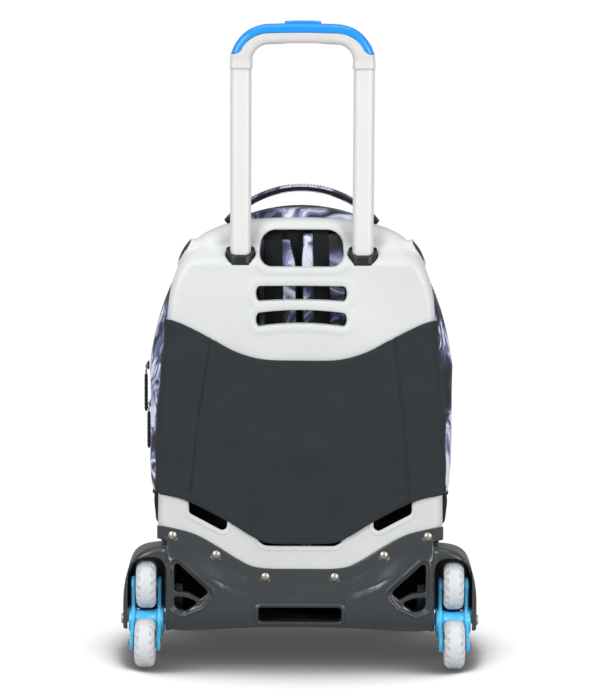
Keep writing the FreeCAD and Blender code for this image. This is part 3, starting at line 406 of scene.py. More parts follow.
def stitches(name, path, outward, pitch=3.4, length=2.2, radius=0.28):
    """Row of raised thread stitches along a path."""
    path, outward = np.asarray(path, float), np.asarray(outward, float)
    if outward.ndim == 1:
        outward = np.tile(outward, (len(path), 1))
    run = run_along(path)
    count = max(int(run[-1] / pitch), 1)
    verts, faces = [], []
    for i in range(count):
        ends = []
        for s in (i * pitch, i * pitch + length):
            p = np.array([np.interp(s, run, path[:, k]) for k in range(3)])
            o = np.array([np.interp(s, run, outward[:, k]) for k in range(3)])
            ends.append((p, o / np.linalg.norm(o)))
        (a, up), (b, _) = ends
        ahead = (b - a) / max(np.linalg.norm(b - a), 1e-9)
        side = np.cross(ahead, up)
        base = len(verts)
        for t, lift, wide in ((0, -0.3, 0.6), (0.25, 0.75, 1), (0.75, 0.75, 1), (1, -0.3, 0.6)):
            middle = a + (b - a) * t + up * lift * radius
            for turn in (0, 90, 180, 270):
                c, s = math.cos(math.radians(turn)), math.sin(math.radians(turn))
                verts.append(middle + (side * c + up * s * 0.7) * radius * wide)
        for k in range(3):
            for j in range(4):
                l = (j + 1) % 4
                faces.append((base + 4 * k + j, base + 4 * k + l, base + 4 * k + 4 + l, base + 4 * k + 4 + j))
        faces.append((base, base + 1, base + 2, base + 3))
        faces.append((base + 15, base + 14, base + 13, base + 12))
    return mesh_object(name, verts, faces)


# ---- materials ----------------------------------------------------------------------------------------
def linear(text):
    """Linear colour from a six-digit hex one."""
    values = [int(text[i:i + 2], 16) / 255 for i in (0, 2, 4)]
    return tuple(v / 12.92 if v < 0.04045 else ((v + 0.055) / 1.055) ** 2.4 for v in values) + (1.0,)


MIX_A, MIX_B, MIX_OUT = 6, 7, 2          # a Mix node's colour sockets


class Finish:
    """Small helper to lay out one material's nodes."""

    def __init__(self, name, colour, roughness, metallic=0.0, **sockets):
        self.material = bpy.data.materials.new(name)
        self.material.use_nodes = True
        self.tree = self.material.node_tree
        self.shader = self.tree.nodes["Principled BSDF"]
        self.shader.inputs["Base Color"].default_value = linear(colour)
        self.shader.inputs["Roughness"].default_value = roughness
        self.shader.inputs["Metallic"].default_value = metallic
        self.material.diffuse_color = linear(colour)
        for key, value in sockets.items():
            self.shader.inputs[key.replace("_", " ")].default_value = value

    def add(self, kind, **values):
        node = self.tree.nodes.new(kind)
        for key, value in values.items():
            if hasattr(node, key):
                setattr(node, key, value)
            else:
                node.inputs[key.replace("_", " ")].default_value = value
        return node

    def link(self, a, b):
        self.tree.links.new(a, b)

    def coordinates(self, kind="Object", scale=(1, 1, 1)):
        where = self.add("ShaderNodeTexCoord")
        mapping = self.add("ShaderNodeMapping")
        mapping.inputs["Scale"].default_value = scale
        self.link(where.outputs[kind], mapping.inputs["Vector"])
        return mapping.outputs["Vector"]

    def noise(self, scale, detail=3.0, distortion=0.0, stretch=(1, 1, 1)):
        node = self.add("ShaderNodeTexNoise", Scale=scale, Detail=detail, Distortion=distortion)
        self.link(self.coordinates(scale=stretch), node.inputs["Vector"])
        return node.outputs["Fac"]

    def spread(self, value, low, high, start=0.0, end=1.0):
        node = self.add("ShaderNodeMapRange", From_Min=start, From_Max=end, To_Min=low, To_Max=high)
        self.link(value, node.inputs["Value"])
        return node.outputs["Result"]

    def bands(self, value, stops):
        node = self.add("ShaderNodeValToRGB")
        elements = node.color_ramp.elements
        while len(elements) < len(stops):
            elements.new(0.5)
        for element, (position, colour) in zip(elements, stops):
            element.position = position
            element.color = linear(colour)
        self.link(value, node.inputs["Fac"])
        return node.outputs["Color"]

    def roughness(self, value, low, high):
        self.link(self.spread(value, low, high), self.shader.inputs["Roughness"])

    def math(self, operation, a, b):
        node = self.add("ShaderNodeMath", operation=operation)
        for socket, v in zip(node.inputs, (a, b)):
            if isinstance(v, (int, float)):
                socket.default_value = v
            else:
                self.link(v, socket)
        return node.outputs[0]

    def relief(self, height, strength, distance):
        node = self.add("ShaderNodeBump", Strength=strength, Distance=distance * MM)
        self.link(height, node.inputs["Height"])
        last = self.shader.inputs["Normal"].links
        if last:
            self.link(last[0].from_socket, node.inputs["Normal"])
        self.link(node.outputs["Normal"], self.shader.inputs["Normal"])

    def weave(self, pitch, strength):
        """Plain weave: two crossed sets of threads, pitch in mm."""
        sets = []
        for axis in ("X", "Y"):
            node = self.add("ShaderNodeTexWave", bands_direction=axis, Scale=math.pi / (10 * pitch * MM))
            self.link(self.coordinates("UV"), node.inputs["Vector"])
            sets.append(node.outputs["Fac"])
        height = self.math("MULTIPLY", sets[0], sets[1])
        self.relief(height, strength, 0.3)
        return height


def moulded(name, colour, rough, grain=0.12, **sockets):
    """Moulded plastic: fine spark-eroded grain, slight colour drift and handling marks in the gloss."""
    f = Finish(name, colour, rough, **sockets)
    drift = f.add("ShaderNodeMix", data_type="RGBA", blend_type="MULTIPLY", Factor=1.0)
    drift.inputs[MIX_A].default_value = linear(colour)
    f.link(f.bands(f.noise(9, 3), [(0.3, "F2F2F2"), (0.7, "FFFFFF")]), drift.inputs[MIX_B])
    f.link(drift.outputs[MIX_OUT], f.shader.inputs["Base Color"])
    f.roughness(f.noise(35, 4, distortion=0.4), rough - 0.06, rough + 0.08)
    f.relief(f.noise(1900, 2), grain, 0.12)
    f.relief(f.noise(45, 2), 0.05, 0.5)
    return f.material


def cloth(name, colour, rough, pitch, strength):
    """Woven polyester: weave relief, painted shade in the weave's hollows, random tone and soft creases."""
    f = Finish(name, colour, rough, Sheen_Weight=0.05, Sheen_Roughness=0.5, Specular_IOR_Level=0.25)
    height = f.weave(pitch, strength)
    weave_shade_and_tone_dark = tuple(c * 0.62 for c in linear(colour)[:3]) + (1.0,)
    mix = f.add("ShaderNodeMix", data_type="RGBA")
    mix.inputs[MIX_A].default_value = weave_shade_and_tone_dark
    mix.inputs[MIX_B].default_value = linear(colour)
    # painted shade: darker where the weave is low, between the threads, times a random tone across the cloth
    tone = f.math("MULTIPLY", f.spread(height, 0.45, 1.0), f.spread(f.noise(60, 5), 0.72, 1.15, 0.25, 0.75))
    f.link(tone, mix.inputs["Factor"])
    f.link(mix.outputs[MIX_OUT], f.shader.inputs["Base Color"])
    f.relief(f.noise(55, 4, distortion=0.5), 0.22, 1.2)
    return f.material


def metal(name, colour, rough, stretch, strength=0.05, metallic=1.0):
    """Drawn or turned metal: fine lines along one direction and faint dulling."""
    f = Finish(name, colour, rough, metallic=metallic)
    lines = f.noise(320, 3, stretch=stretch)
    f.roughness(lines, rough - 0.05, rough + 0.09)
    f.relief(lines, strength, 0.1)
    return f.material


def printed_cloth():
    """Navy-black printed polyester with pale swirling strands like smoke."""
    f = Finish("print_cloth", "14151F", 0.62, Sheen_Weight=0.15)
    where = f.coordinates()
    warp = f.add("ShaderNodeTexNoise", Scale=11.0, Detail=2.0)
    f.link(where, warp.inputs["Vector"])
    shift = f.add("ShaderNodeVectorMath", operation="MULTIPLY_ADD")
    f.link(warp.outputs["Color"], shift.inputs[0])
    shift.inputs[1].default_value = (0.16, 0.16, 0.16)
    f.link(where, shift.inputs[2])
    strands = f.add("ShaderNodeTexNoise", Scale=9.0, Detail=9.0, Roughness=0.62, Distortion=1.6)
    flow = f.add("ShaderNodeMapping")
    flow.inputs["Scale"].default_value = (2.6, 2.6, 0.9)
    flow.inputs["Rotation"].default_value = (0.3, 0.5, 0.2)
    f.link(shift.outputs["Vector"], flow.inputs["Vector"])
    f.link(flow.outputs["Vector"], strands.inputs["Vector"])
    clouds = f.add("ShaderNodeTexNoise", Scale=13.0, Detail=1.0)
    f.link(shift.outputs["Vector"], clouds.inputs["Vector"])
    light = f.math("MULTIPLY", f.spread(strands.outputs["Fac"], 0.0, 1.0, 0.36, 0.62),
                   f.spread(clouds.outputs["Fac"], 0.25, 1.35, 0.36, 0.60))
    colour = f.bands(light, [(0.0, "0E1017"), (0.18, "171925"), (0.40, "3A3E5C"), (0.60, "8589B4"),
                             (0.84, "E4E6F5")])
    f.link(colour, f.shader.inputs["Base Color"])
    f.weave(0.9, 0.25)
    f.relief(f.noise(50, 4, distortion=0.5), 0.2, 1.0)
    return f.material


def tyre_finish():
    """Milky cast polyurethane, slightly see-through."""
    f = Finish("tyre_clear", "E6EAEF", 0.3, Subsurface_Weight=0.5, Subsurface_Scale=0.006,
               Transmission_Weight=0.18, IOR=1.48, Specular_IOR_Level=0.55)
    f.shader.inputs["Subsurface Radius"].default_value = (1.0, 1.0, 1.1)
    f.roughness(f.noise(90, 4), 0.24, 0.42)
    f.relief(f.noise(260, 3), 0.06, 0.2)
    return f.material


MATERIALS = {
    "shell": moulded("shell_plastic", "D8DBDA", 0.42, 0.06),
    "base": moulded("base_plastic", "33373A", 0.25, 0.14, Specular_IOR_Level=0.75),
    "trim": moulded("trim_plastic", "1E2022", 0.34, 0.12, Specular_IOR_Level=0.45),
    "blue": moulded("blue_plastic", "1A94F0", 0.24, 0.04, Specular_IOR_Level=0.5),
    # painted light: the star plates get a lighter, more cyan copy of the blue plastic, lightened to make up
    # for the shade they stand in
    "star": moulded("star_plastic", "55CCFF", 0.3, 0.04, Specular_IOR_Level=0.5),
    "grip": moulded("grip_plastic", "D6D5D3", 0.46, 0.1),
    "core": moulded("core_plastic", "DDE7F1", 0.3, 0.05),
    "spacer": moulded("spacer_plastic", "DADCDD", 0.4, 0.05),
    "rubber": moulded("foot_rubber", "1A1B1E", 0.7, 0.3),
    "cover": cloth("cover_cloth", "313538", 0.8, 1.0, 0.6),
    "boot": cloth("boot_cloth", "1C1D20", 0.8, 1.2, 0.5),
    "tape": cloth("tape_cloth", "151619", 0.75, 1.4, 0.6),
    "print": printed_cloth(),
    "tyre": tyre_finish(),
    "tube": metal("tube_metal", "DDDDDB", 0.5, (1, 1, 0.02), 0.03, 0.1),
    "sleeve": metal("sleeve_metal", "AEB0B3", 0.38, (1, 1, 0.02)),
    "steel": metal("pin_steel", "B9B4A8", 0.38, (1, 1, 1)),
    "bright": metal("bright_metal", "D9D9DB", 0.16, (1, 1, 1), 0.02),
    "spring": metal("spring_steel", "8C8D90", 0.35, (1, 1, 1)),
}
SLOTS = {kind: material.name.split(".")[0] for kind, material in MATERIALS.items()}
# the star plates share the blue plastic's slot; their lighter colour is painted light
SLOTS["star"] = SLOTS["blue"]


def paint(obj, kind):
    obj.data.materials.clear()
    obj.data.materials.append(MATERIALS[kind])
    return obj


def place(obj, kind, body, *stands_for):
    """Finishes a piece: its material, the body it rides on and the design nodes it stands for."""
    if kind:
        paint(obj, kind)
    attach(obj, body)
    if stands_for:
        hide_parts(*stands_for)
    return obj


# ---- hard shell ---------------------------------------------------------------------------------------
def fillet_max(a, b, r):
    """Intersection of two solids whose common edge is rounded with radius r."""
    return np.minimum(np.maximum(a, b), -r) + np.hypot(np.maximum(a + r, 0), np.maximum(b + r, 0))


def slot_outline(low, high, arch_low, arch_high, reach=44.0, bulge=4.0):
    """Outline of a hand slot: long sides arched a little, ends rounded outwards."""
    x = np.linspace(-reach, reach, 15)
    crown = 1 - (x / reach) ** 2
    turn = np.linspace(-1, 1, 7)[1:-1] * math.pi / 2
    middle, half = (low + high) / 2, (high - low) / 2
    points = list(zip(x, low + arch_low * crown))
    points += [(reach + bulge * math.cos(t), middle + half * math.sin(t)) for t in turn]
    points += list(zip(x[::-1], high + arch_high * crown))
    points += [(-reach - bulge * math.cos(t), middle - half * math.sin(t)) for t in turn]
    return points


shell_path = through(both_sides(SHELL_SIDE, SHELL_TOP), 6)
shell_foot = through([(-x, z) for x, z in SHELL_FOOT] + [(0, SHELL_BOTTOM)] + SHELL_FOOT[::-1], 6)
shell_outline = Outline(np.vstack([shell_path, shell_foot]))
foot_x, foot_z = shell_foot[:, 0], shell_foot[:, 1]
top_window = Outline(rounded([(-45.5, 422), (-42.5, 459.5), (42.5, 459.5), (45.5, 422)], [13, 17, 17, 13]))
slots = [Outline(slot_outline(386.0, 402.5, 1.6, 0.4)), Outline(slot_outline(359.5, 374.5, 3.4, 3.0))]
side_windows = [Outline(rounded([(s * x, z) for x, z in LOW_WINDOW], 5.0)) for s in (1, -1)]
middle_window = Outline(rounded([(-45, 126), (-47, 158), (47, 158), (45, 126)], [12, 4, 4, 12]))
CORNER_ACROSS = np.cross(CORNER_NORMAL, [0, 1, 0])
CORNER_ACROSS /= np.linalg.norm(CORNER_ACROSS)
CORNER_THIRD = np.cross(CORNER_NORMAL, CORNER_ACROSS)
PAD_LENGTH, PAD_WIDTH, PAD_WALL = 31.0, 18.0, 2.6


def corner_axes(x, y, z):
    """Position in the frame of a corner pad: along it, across it and outwards."""
    offset = (abs(x) - CORNER_CENTRE[0], y - CORNER_CENTRE[1], z - CORNER_CENTRE[2])
    return [sum(o * a for o, a in zip(offset, axis)) for axis in (CORNER_ACROSS, CORNER_THIRD, CORNER_NORMAL)]


def pad_shape(u, v, grow):
    """Distance to a corner pad's stadium outline, grown by that much."""
    half = (PAD_LENGTH - PAD_WIDTH) / 2
    return capsule(u, v, (-half, 0), (half, 0)) - PAD_WIDTH / 2 - grow


def shell_surface(x, z):
    """Depth of the shell's outer face: flat below, set back above the collars, with soft window rims."""
    y = SHELL_BACK + SETBACK * ramp(z, STEP_LOW - 3, STEP_HIGH + 3)
    rim = meet(*[bump(window(x, z) - 5.0, 3.6) for window in [top_window] + slots])
    y = y - 1.0 * rim
    for window in side_windows:
        y = y - 0.9 * bump(window(x, z) - 3.6, 1.3)
    return y - 0.8 * bump(middle_window(x, z) - 3.6, 1.3)


def shell_field(x, y, z):
    """The shell: a thin skin with its windows, the corner pads and the openings for the collars."""
    outline = shell_outline(x, z)
    surface = shell_surface(x, z)
    soft = 5.0 * ramp(z, 380, 436)
    outer = fillet_max(outline, surface - y, SHELL_EDGE + soft)
    behind = shell_surface(x, z + 2.2) + SHELL_WALL
    inner = fillet_max(outline + SHELL_WALL, behind - y, SHELL_EDGE - SHELL_WALL + soft)
    skin = meet(outer, -inner, y - SHELL_FRONT)
    flange = np.interp(x, foot_x, foot_z) + FLANGE_HEIGHT
    skin = meet(skin, -meet(z - flange, SHELL_BACK + SHELL_WALL - y, abs(x) - FLANGE_HALF))
    u, v, w = corner_axes(x, y, z)
    pad = fillet_max(pad_shape(u, v, 0), w, 2.4)
    skin = meet(smooth_min(skin, meet(pad, -15.0 - w), 4.5), y - SHELL_FRONT)
    depth = y - surface
    for window in [top_window] + slots:
        lip = meet(window(x, z) - 1.8, -depth + 0.6, depth - 8.0)
        skin = smooth_min(skin, lip, 1.5)
        skin = fillet_max(skin, -window(x, z) - 0.10 * depth, 1.2)
    for window in side_windows + [middle_window]:
        skin = fillet_max(skin, -window(x, z), 0.8)
    skin = fillet_max(skin, -meet(pad_shape(u, v, -PAD_WALL), -12.0 - w), 0.5)
    return meet(skin, -meet(collar_shape(abs(x), y) - 0.3, COLLAR_FOOT - 0.4 - z))


low, high = box_mm("back_shell")
shell = carve("back_shell_skin", shell_field, low - [0, 2, 0], high, FINE)
place(shell, "shell", "trolley", "back_shell")

# ---- moulded base -------------------------------------------------------------------------------------
band_path = through(both_sides(BAND, BAND_TOP), 6)
band_x, band_z = band_path[::-1, 0], band_path[::-1, 1]
skirt_path = through(both_sides(SKIRT, SKIRT_MIDDLE), 6)[::-1]
base_outline = Outline(np.vstack([band_path, [(-151, 134), (-BASE_HALF, 132)], skirt_path,
                                  [(BASE_HALF, 132), (151, 134)]]))
WELL_LOW, MOUTH_TOP = 10.0, 114.0       # below the base's lower edge, so that the wheel wells stay open
WELL_SIDE_LINE = [(CHEEK_OUT, WELL_LOW), (CHEEK_OUT, 36), (CHEEK_OUT, 62), (CHEEK_OUT - 0.8, 77.3),
                  (CHEEK_OUT - 3.6, 93.5), (178, 108), (170, 117), (161, 122), (150, 125), (137.5, 128)]
well_outline = Outline(np.vstack([through(WELL_SIDE_LINE, 5), [(BASE_HALF - BASE_WALL, WELL_LOW)]]))
well_mouth = Outline(rounded([(BASE_HALF, WELL_LOW), (BASE_HALF, MOUTH_TOP), (CHEEK_IN, MOUTH_TOP),
                              (CHEEK_IN, WELL_LOW)], [0.5, 15, 22, 0.5]))
UPPER_WINDOW = [(133, 112), (133, 78), (118, 76.5), (105, 69.5), (95.5, 77.5)]
LOWER_WINDOW = [(133, 73), (120, 71.6), (106, 66.2), (121, 56), (133, 59)]
WINDOW_FRAME = [(136, 118), (136, 58), (125, 52.6), (104, 62), (91, 77.5)]
upper_window = Outline(rounded(UPPER_WINDOW, [3, 2, 6, 3, 4]))
lower_window = Outline(rounded(LOWER_WINDOW, [2.5, 6, 3, 6, 8]))
window_frame = Outline(rounded(WINDOW_FRAME, [5, 7, 6, 8, 5]))
SLOT_HALF, SLOT_LOW, SLOT_HIGH = 43.8, 46.0, 61.8
TRAY_Z = 41.75                          # middle of the tray's floor
SIDE_Y, SIDE_REACH = -42.0, 43.0        # the side walls' middle and half length
HOLE_REACH = 70.0                       # windows are cut through the back wall only, up to this depth
RIVET_HOLE, AXLE_HOLE = 2.1, 4.3


def base_slot(x, z):
    return round_box(x, z - (SLOT_LOW + SLOT_HIGH) / 2, SLOT_HALF, (SLOT_HIGH - SLOT_LOW) / 2, 3.5)


def base_surface(x, z):
    """Depth of the base's outer face: flat band, a swell with a soft crease, and a foot that turns under."""
    ax = abs(x)
    fall = np.interp(x, band_x, band_z) - BAND_HEIGHT - z
    run = np.interp(ax, [0, 44, 67.5, 81, 141], [13.0, 13.0, 17.5, 21.5, 26])
    crisp = 0.6 * np.clip(fall / run, 0, 1) ** 0.9 + 0.4 * ramp(fall - run, -0.3, 8.5)
    share = ramp(ax, 66, 108)
    swell = crisp * (1 - share) + ramp(fall, -1, 1.3 * run) * share
    below = np.clip((fall - run) / 46, 0, 1)
    foot = np.clip((60 - z) / 22, 0, 1)
    swell = swell * (1 - 0.16 * below) - 0.75 * foot ** 2.4 - 0.09 * bump(fall - run, 1.3) * (1 - share)
    corner = np.sqrt(1 - np.clip((ax - 134.0) / 7.5, 0, 1) ** 2)
    y = BASE_BACK - BASE_SWELL * np.maximum(swell, 0) * (1 - 0.25 * ramp(ax, 90, 134)) * corner
    y = y + 1.8 * ramp(-window_frame(ax, z), -1.0, 1.5) - 0.9 * bump(window_frame(ax, z) - 1.6, 1.4)
    slot_edge = base_slot(x, z)
    y = y - 1.3 * bump(slot_edge - 2.6, 1.2) + 0.7 * bump(slot_edge - 5.0, 1.0)
    for rx, rz in RIVETS:
        y = y + 0.55 * ramp(-np.hypot(ax - rx, z - rz), -6.4, -5.2)
    return y


def base_field(x, y, z):
    """The base: back plate, tray, wheel wells, side walls and gussets, less its windows and holes."""
    ax = abs(x)
    surface = base_surface(x, z)
    depth = y - surface
    outline = base_outline(x, z)
    plate = meet(fillet_max(outline, -depth, 1.3), depth - BASE_WALL)
    foot_turn = meet(outline, -outline - 3.2, -depth, y + 84.5, z - 60)
    body = smooth_min(plate, foot_turn, 1.5)
    floor = abs(z - TRAY_Z) - BASE_WALL / 2
    beside = abs(y - SIDE_Y) - SIDE_REACH
    behind = y + HOLE_REACH
    tray = fillet_max(round_box(x, y - 3.5, BASE_HALF - 6, 88.5, 30.0), floor, 1.0)
    ledge = meet(ax - BASE_HALF, beside, floor)
    body = smooth_min(body, meet(np.minimum(tray, ledge), SHELL_BACK - y), 2.0)
    radial = np.hypot(y - STAR_Y, z - STAR_Z)
    edge = well_outline(ax, z)
    outer = fillet_max(fillet_max(edge, radial - WELL_RADIUS, 7.0), BASE_BACK + 0.5 - y, 7.0)
    inner = fillet_max(edge + BASE_WALL, radial - WELL_RADIUS + 4.0, 4.0)
    inner = meet(inner, BASE_BACK + 4.0 - y, BASE_HALF - ax)
    well = fillet_max(meet(outer, -inner), -meet(well_mouth(ax, z), behind), 1.4)
    body = smooth_min(body, meet(well, 36.0 - z), 5.5)
    side_wall = meet(abs(ax - BASE_HALF + BASE_WALL / 2) - BASE_WALL / 2, beside, abs(z - 49) - 12)
    body = smooth_min(body, side_wall, 1.5)
    gusset = meet(abs(ax - 132) - 7.5, abs(y + 60) - 1.5, abs(z - 61) - 19)
    body = smooth_min(body, gusset, 1.0)
    for hole, draught, rounding in ((upper_window(ax, z), 0.10, 0.7), (lower_window(ax, z), 0.10, 0.7),
                                    (base_slot(x, z), 0.08, 0.9)):
        lip = meet(abs(hole - 1.0) - 1.1, -depth + 0.3, depth - 9.0)
        body = smooth_min(body, lip, 0.8)
        body = fillet_max(body, -meet(hole + draught * depth, behind), rounding)
    body = meet(body, -meet(radial - AXLE_HOLE, 120 - ax))
    body = meet(body, -meet(radial - 8.0, abs(ax - 133.5) - 4.0))
    for rx, rz in RIVETS:
        body = meet(body, RIVET_HOLE - np.hypot(ax - rx, z - rz))
    return body


low, high = box_mm("base_moulding")
base = carve("base_skin", base_field, low - [0, BASE_SWELL, 0], high, FINE)
place(base, "base", "trolley", "base_moulding")

# ---- handle -------------------------------------------------------------------------------------------
GRIP_BEND = 27.5
GRIP_LINE = GRIP_TOP - 10.3             # height of the grip's centreline
BUTTON_HALF, BUTTON_DEPTH = 19.0, 11.0
COVER_GAP = 0.12                        # half of the joint line between the grip's body and its cover
SOCKET_TOP, BUTTON_FLOOR = 648.1, 653.6
CHANNEL_Z = 657.8                       # middle of the channel that the button's bar moves in


def grip_offset(x, z, half=TUBE_X - 0.25, line=GRIP_LINE, bend=GRIP_BEND):
    """Distance outwards from an arch: two legs and a gently bowed crossbar."""
    lifted = z + 1.3 * np.clip(abs(x) / 46, 0, 1) ** 2
    return round_box(x, lifted - line + 160, half, 160.0, bend)


def grip_section(x, y, z):
    half = 11.9 - 1.6 * ramp(z, 632, 658)
    offset = grip_offset(x, z)
    pinch = 0.7 * bump(z - 636, 5.0)
    return fillet_max(round_box(offset, y - TUBE_Y, half - pinch * 0.4, 10.0 - pinch, 6.2), GRIP_END - z, 1.2)


def cover_split(x, z):
    """Negative on the cover's side of the split between cover and body."""
    line = -grip_offset(x, z, TUBE_X + 2.0, GRIP_LINE + 1.2, 29.0)
    return fillet_max(line, COVER_END - z, 6.0)


def grip_holes(x, y, z):
    """The tubes' sockets, the button's opening and the channel for its bar."""
    ax = abs(x)
    across = y - TUBE_Y
    socket = meet(tube_shape(ax, y) - 0.05, z - SOCKET_TOP)
    opening = meet(round_box(x, across, BUTTON_HALF + 0.4, BUTTON_DEPTH / 2 + 0.4, 2.5), BUTTON_FLOOR - z)
    channel = meet(ax - 65.6, abs(across) - 4.5, abs(z - CHANNEL_Z) - 4.2)
    return np.minimum(np.minimum(socket, opening), channel)


def grip_body_field(x, y, z):
    return meet(grip_section(x, y, z), -cover_split(x, z) + COVER_GAP, -grip_holes(x, y, z))


def grip_cover_field(x, y, z):
    cover = fillet_max(grip_section(x, y, z) - 0.25, cover_split(x, z) + COVER_GAP, 0.8)
    return meet(cover, -grip_holes(x, y, z))


def button_field(x, y, z):
    """The grip's button, on a bar that reaches both tubes, with a well for its spring."""
    crown = BUTTON_TOP - 0.5 * (x / BUTTON_HALF) ** 2 - 0.35 * bump(abs(x) - BUTTON_HALF + 4.5, 1.0)
    cap = fillet_max(round_box(x, y - TUBE_Y, BUTTON_HALF, BUTTON_DEPTH / 2, 2.4), z - crown, 1.3)
    bar = meet(abs(x) - TUBE_X - 1.2, abs(y - TUBE_Y) - 4, abs(z - 659.1) - 1.5)
    well = meet(np.hypot(x, y - TUBE_Y) - 4.4, z - 668)
    return meet(np.minimum(meet(cap, 657.6 - z), bar), -well)


SMALL = 0.75          # grid of the small mouldings
for name, field, kind, body in (("grip_body", grip_body_field, "grip", "handle"),
                                ("grip_cover", grip_cover_field, "blue", "handle"),
                                ("grip_button", button_field, "blue", "button")):
    place(carve(name + "_skin", field, *box_mm(name), SMALL), kind, body, name)


def collar_field(x, y, z):
    """Bezel round a tube: shield-shaped seen from behind, with a raised lip and a sloping mouth."""
    shield = round_box(abs(x) - TUBE_X, z - 435.0, 15.4 - 2.4 * ramp(-z, -440, -428), 10.4, 5.0)
    body = fillet_max(collar_shape(abs(x), y), shield, 1.4)
    mouth = np.interp(y, [-90, TUBE_Y + 2, TUBE_Y + 20], [430.5, 441.6, 443.0])
    body = meet(fillet_max(body, z - mouth, 1.1), COLLAR_FOOT - z)
    tube = tube_shape(abs(x), y)
    body = fillet_max(body, -meet(tube - 2.6, mouth - 2.2 - z), 0.5)
    return meet(body, 0.35 - tube, -meet(tube - 2.1, z - COLLAR_FOOT - 1.5))


def button_cap_field(x, y, z):
    """Domed cap of a corner button, with its stem."""
    u, v, w = corner_axes(x, y, z)
    dome = 1.5 - 0.012 * (u ** 2 + 2 * v ** 2)
    cap = fillet_max(pad_shape(u, v, -PAD_WALL - 0.35), w - dome, 0.9)
    stem = meet(np.hypot(u, v) - 4.0, abs(w + 10) - 9)
    return np.minimum(meet(cap, -3.5 - w), stem)


for side, sign in SIDES.items():
    low, high = box_mm("tube_collars")
    low, high = (low, [0, high[1], high[2]]) if sign < 0 else ([0, low[1], low[2]], high)
    collar = carve("collar_" + side, collar_field, low, high, SMALL)
    place(collar, "trim", "trolley", "tube_collars")
    name = "corner_button_" + side
    low, high = box_mm(name)
    place(carve(name + "_cap", button_cap_field, low, high, SMALL), "trim", name, name)

# ---- stars and wheels ---------------------------------------------------------------------------------
def wheel_centre(which):
    turn = math.radians(STARS[which])
    return STAR_Y + STAR_RADIUS * math.cos(turn), STAR_Z + STAR_RADIUS * math.sin(turn)


def star_field(x, y, z):
    """Two three-armed plates with a boss at the axle and a waisted barrel between them."""
    u = abs(abs(x) - STAR_X)
    r = np.hypot(y - STAR_Y, z - STAR_Z)
    outline = r - 13.0
    tips = [wheel_centre(which) for which in STARS]
    for tip in tips:
        reach = np.hypot(y - tip[0], z - tip[1])
        arm = capsule(y, z, (STAR_Y, STAR_Z), tip) - 7.4
        outline = smooth_min(outline, np.minimum(arm, reach - 8.4), 7.0)
    middle = PLATE_GAP / 2 + PLATE / 2
    thick = PLATE / 2 - 0.3 * ramp(-outline, 1.2, 2.2)
    plate = fillet_max(outline, abs(u - middle) - thick, 1.1)
    for tip in tips:
        reach = np.hypot(y - tip[0], z - tip[1])
        plate = smooth_min(plate, fillet_max(reach - 5.6, abs(u - middle) - PLATE / 2, 0.5), 0.6)
    boss = fillet_max(r - 14.0, abs(u - middle - 2.4) - 2.1, 1.0)
    waist = 8.4 + 2.6 * (u / 12) ** 2.4 - 0.45 * bump(u, 0.45)
    body = smooth_min(smooth_min(plate, boss, 1.2), meet(r - waist, u - 12.5), 2.2)
    return meet(body, STAR_BORE - r)


def core_field(x, y, z):
    """Spoked wheel core round the origin."""
    r = np.hypot(y, z)
    turn = np.arctan2(z, y)
    hub = fillet_max(r - 5.5, abs(x) - 11.8, 0.6)
    rim = fillet_max(abs(r - 13.2) - 1.7, abs(x) - 9.4, 0.8)
    spoke = meet(abs(np.sin(turn * SPOKES / 2)) * r / (SPOKES / 2) - 1.3, abs(x) - 6.5, r - 13)
    web = meet(abs(x) - 1.4, r - 13)
    body = smooth_min(np.minimum(hub, rim), np.minimum(spoke, web), 1.0)
    return meet(body, CORE_BORE - r)


def tyre_mesh(name, centre, turns=128, dimples=15):
    """Spun tyre with a row of shallow pockets along both shoulders and a fine mould seam."""
    half, r = WHEEL_WIDTH / 2, 7.5
    inner = 15.1
    pitch = 2 * math.pi * WHEEL_RADIUS / dimples
    profile = [(-half, inner), (-half, inner + 1), (-half, WHEEL_RADIUS - r - 1)]
    for t in np.linspace(0, 90, 13):
        a = math.radians(t)
        profile.append((-half + r - r * math.cos(a), WHEEL_RADIUS - r + r * math.sin(a)))
    right = [(-u, v) for u, v in reversed(profile)]
    profile = np.array(profile + [(-0.5, WHEEL_RADIUS), (0, WHEEL_RADIUS), (0.5, WHEEL_RADIUS)] + right)
    angle = 2 * math.pi * np.arange(turns) / turns
    u = np.tile(profile[:, 0], (turns, 1))
    radius = np.tile(profile[:, 1], (turns, 1))
    along = (angle[:, None] * dimples / (2 * math.pi) + 0.5 * (u > 0)) % 1 - 0.5
    where = abs(u) - (half - 2.6)
    edge = meet(abs(along) * pitch - 2.7, abs(where) - 2.3)
    depth = 1.7 * ramp(-edge, -0.2, 0.9) - 0.30 * bump(edge - 0.7, 0.6)
    lean = np.clip(np.arctan2(radius - (WHEEL_RADIUS - r), abs(u) - (half - r)), 0, math.pi / 2)
    u = u - np.sign(u) * depth * np.cos(lean)
    radius = radius - depth * np.sin(lean) + 0.10 * bump(u, 0.3)
    verts = np.stack([centre[0] + u, centre[1] + radius * np.cos(angle)[:, None],
                      centre[2] + radius * np.sin(angle)[:, None]], axis=-1)
    count = len(profile)
    faces = grid_faces(turns, count, wrap=True)
    for i in range(turns):
        k = (i + 1) % turns
        faces.append((i * count, i * count + count - 1, k * count + count - 1, k * count))
    return mesh_object(name, verts.reshape(-1, 3), faces, crease=70)


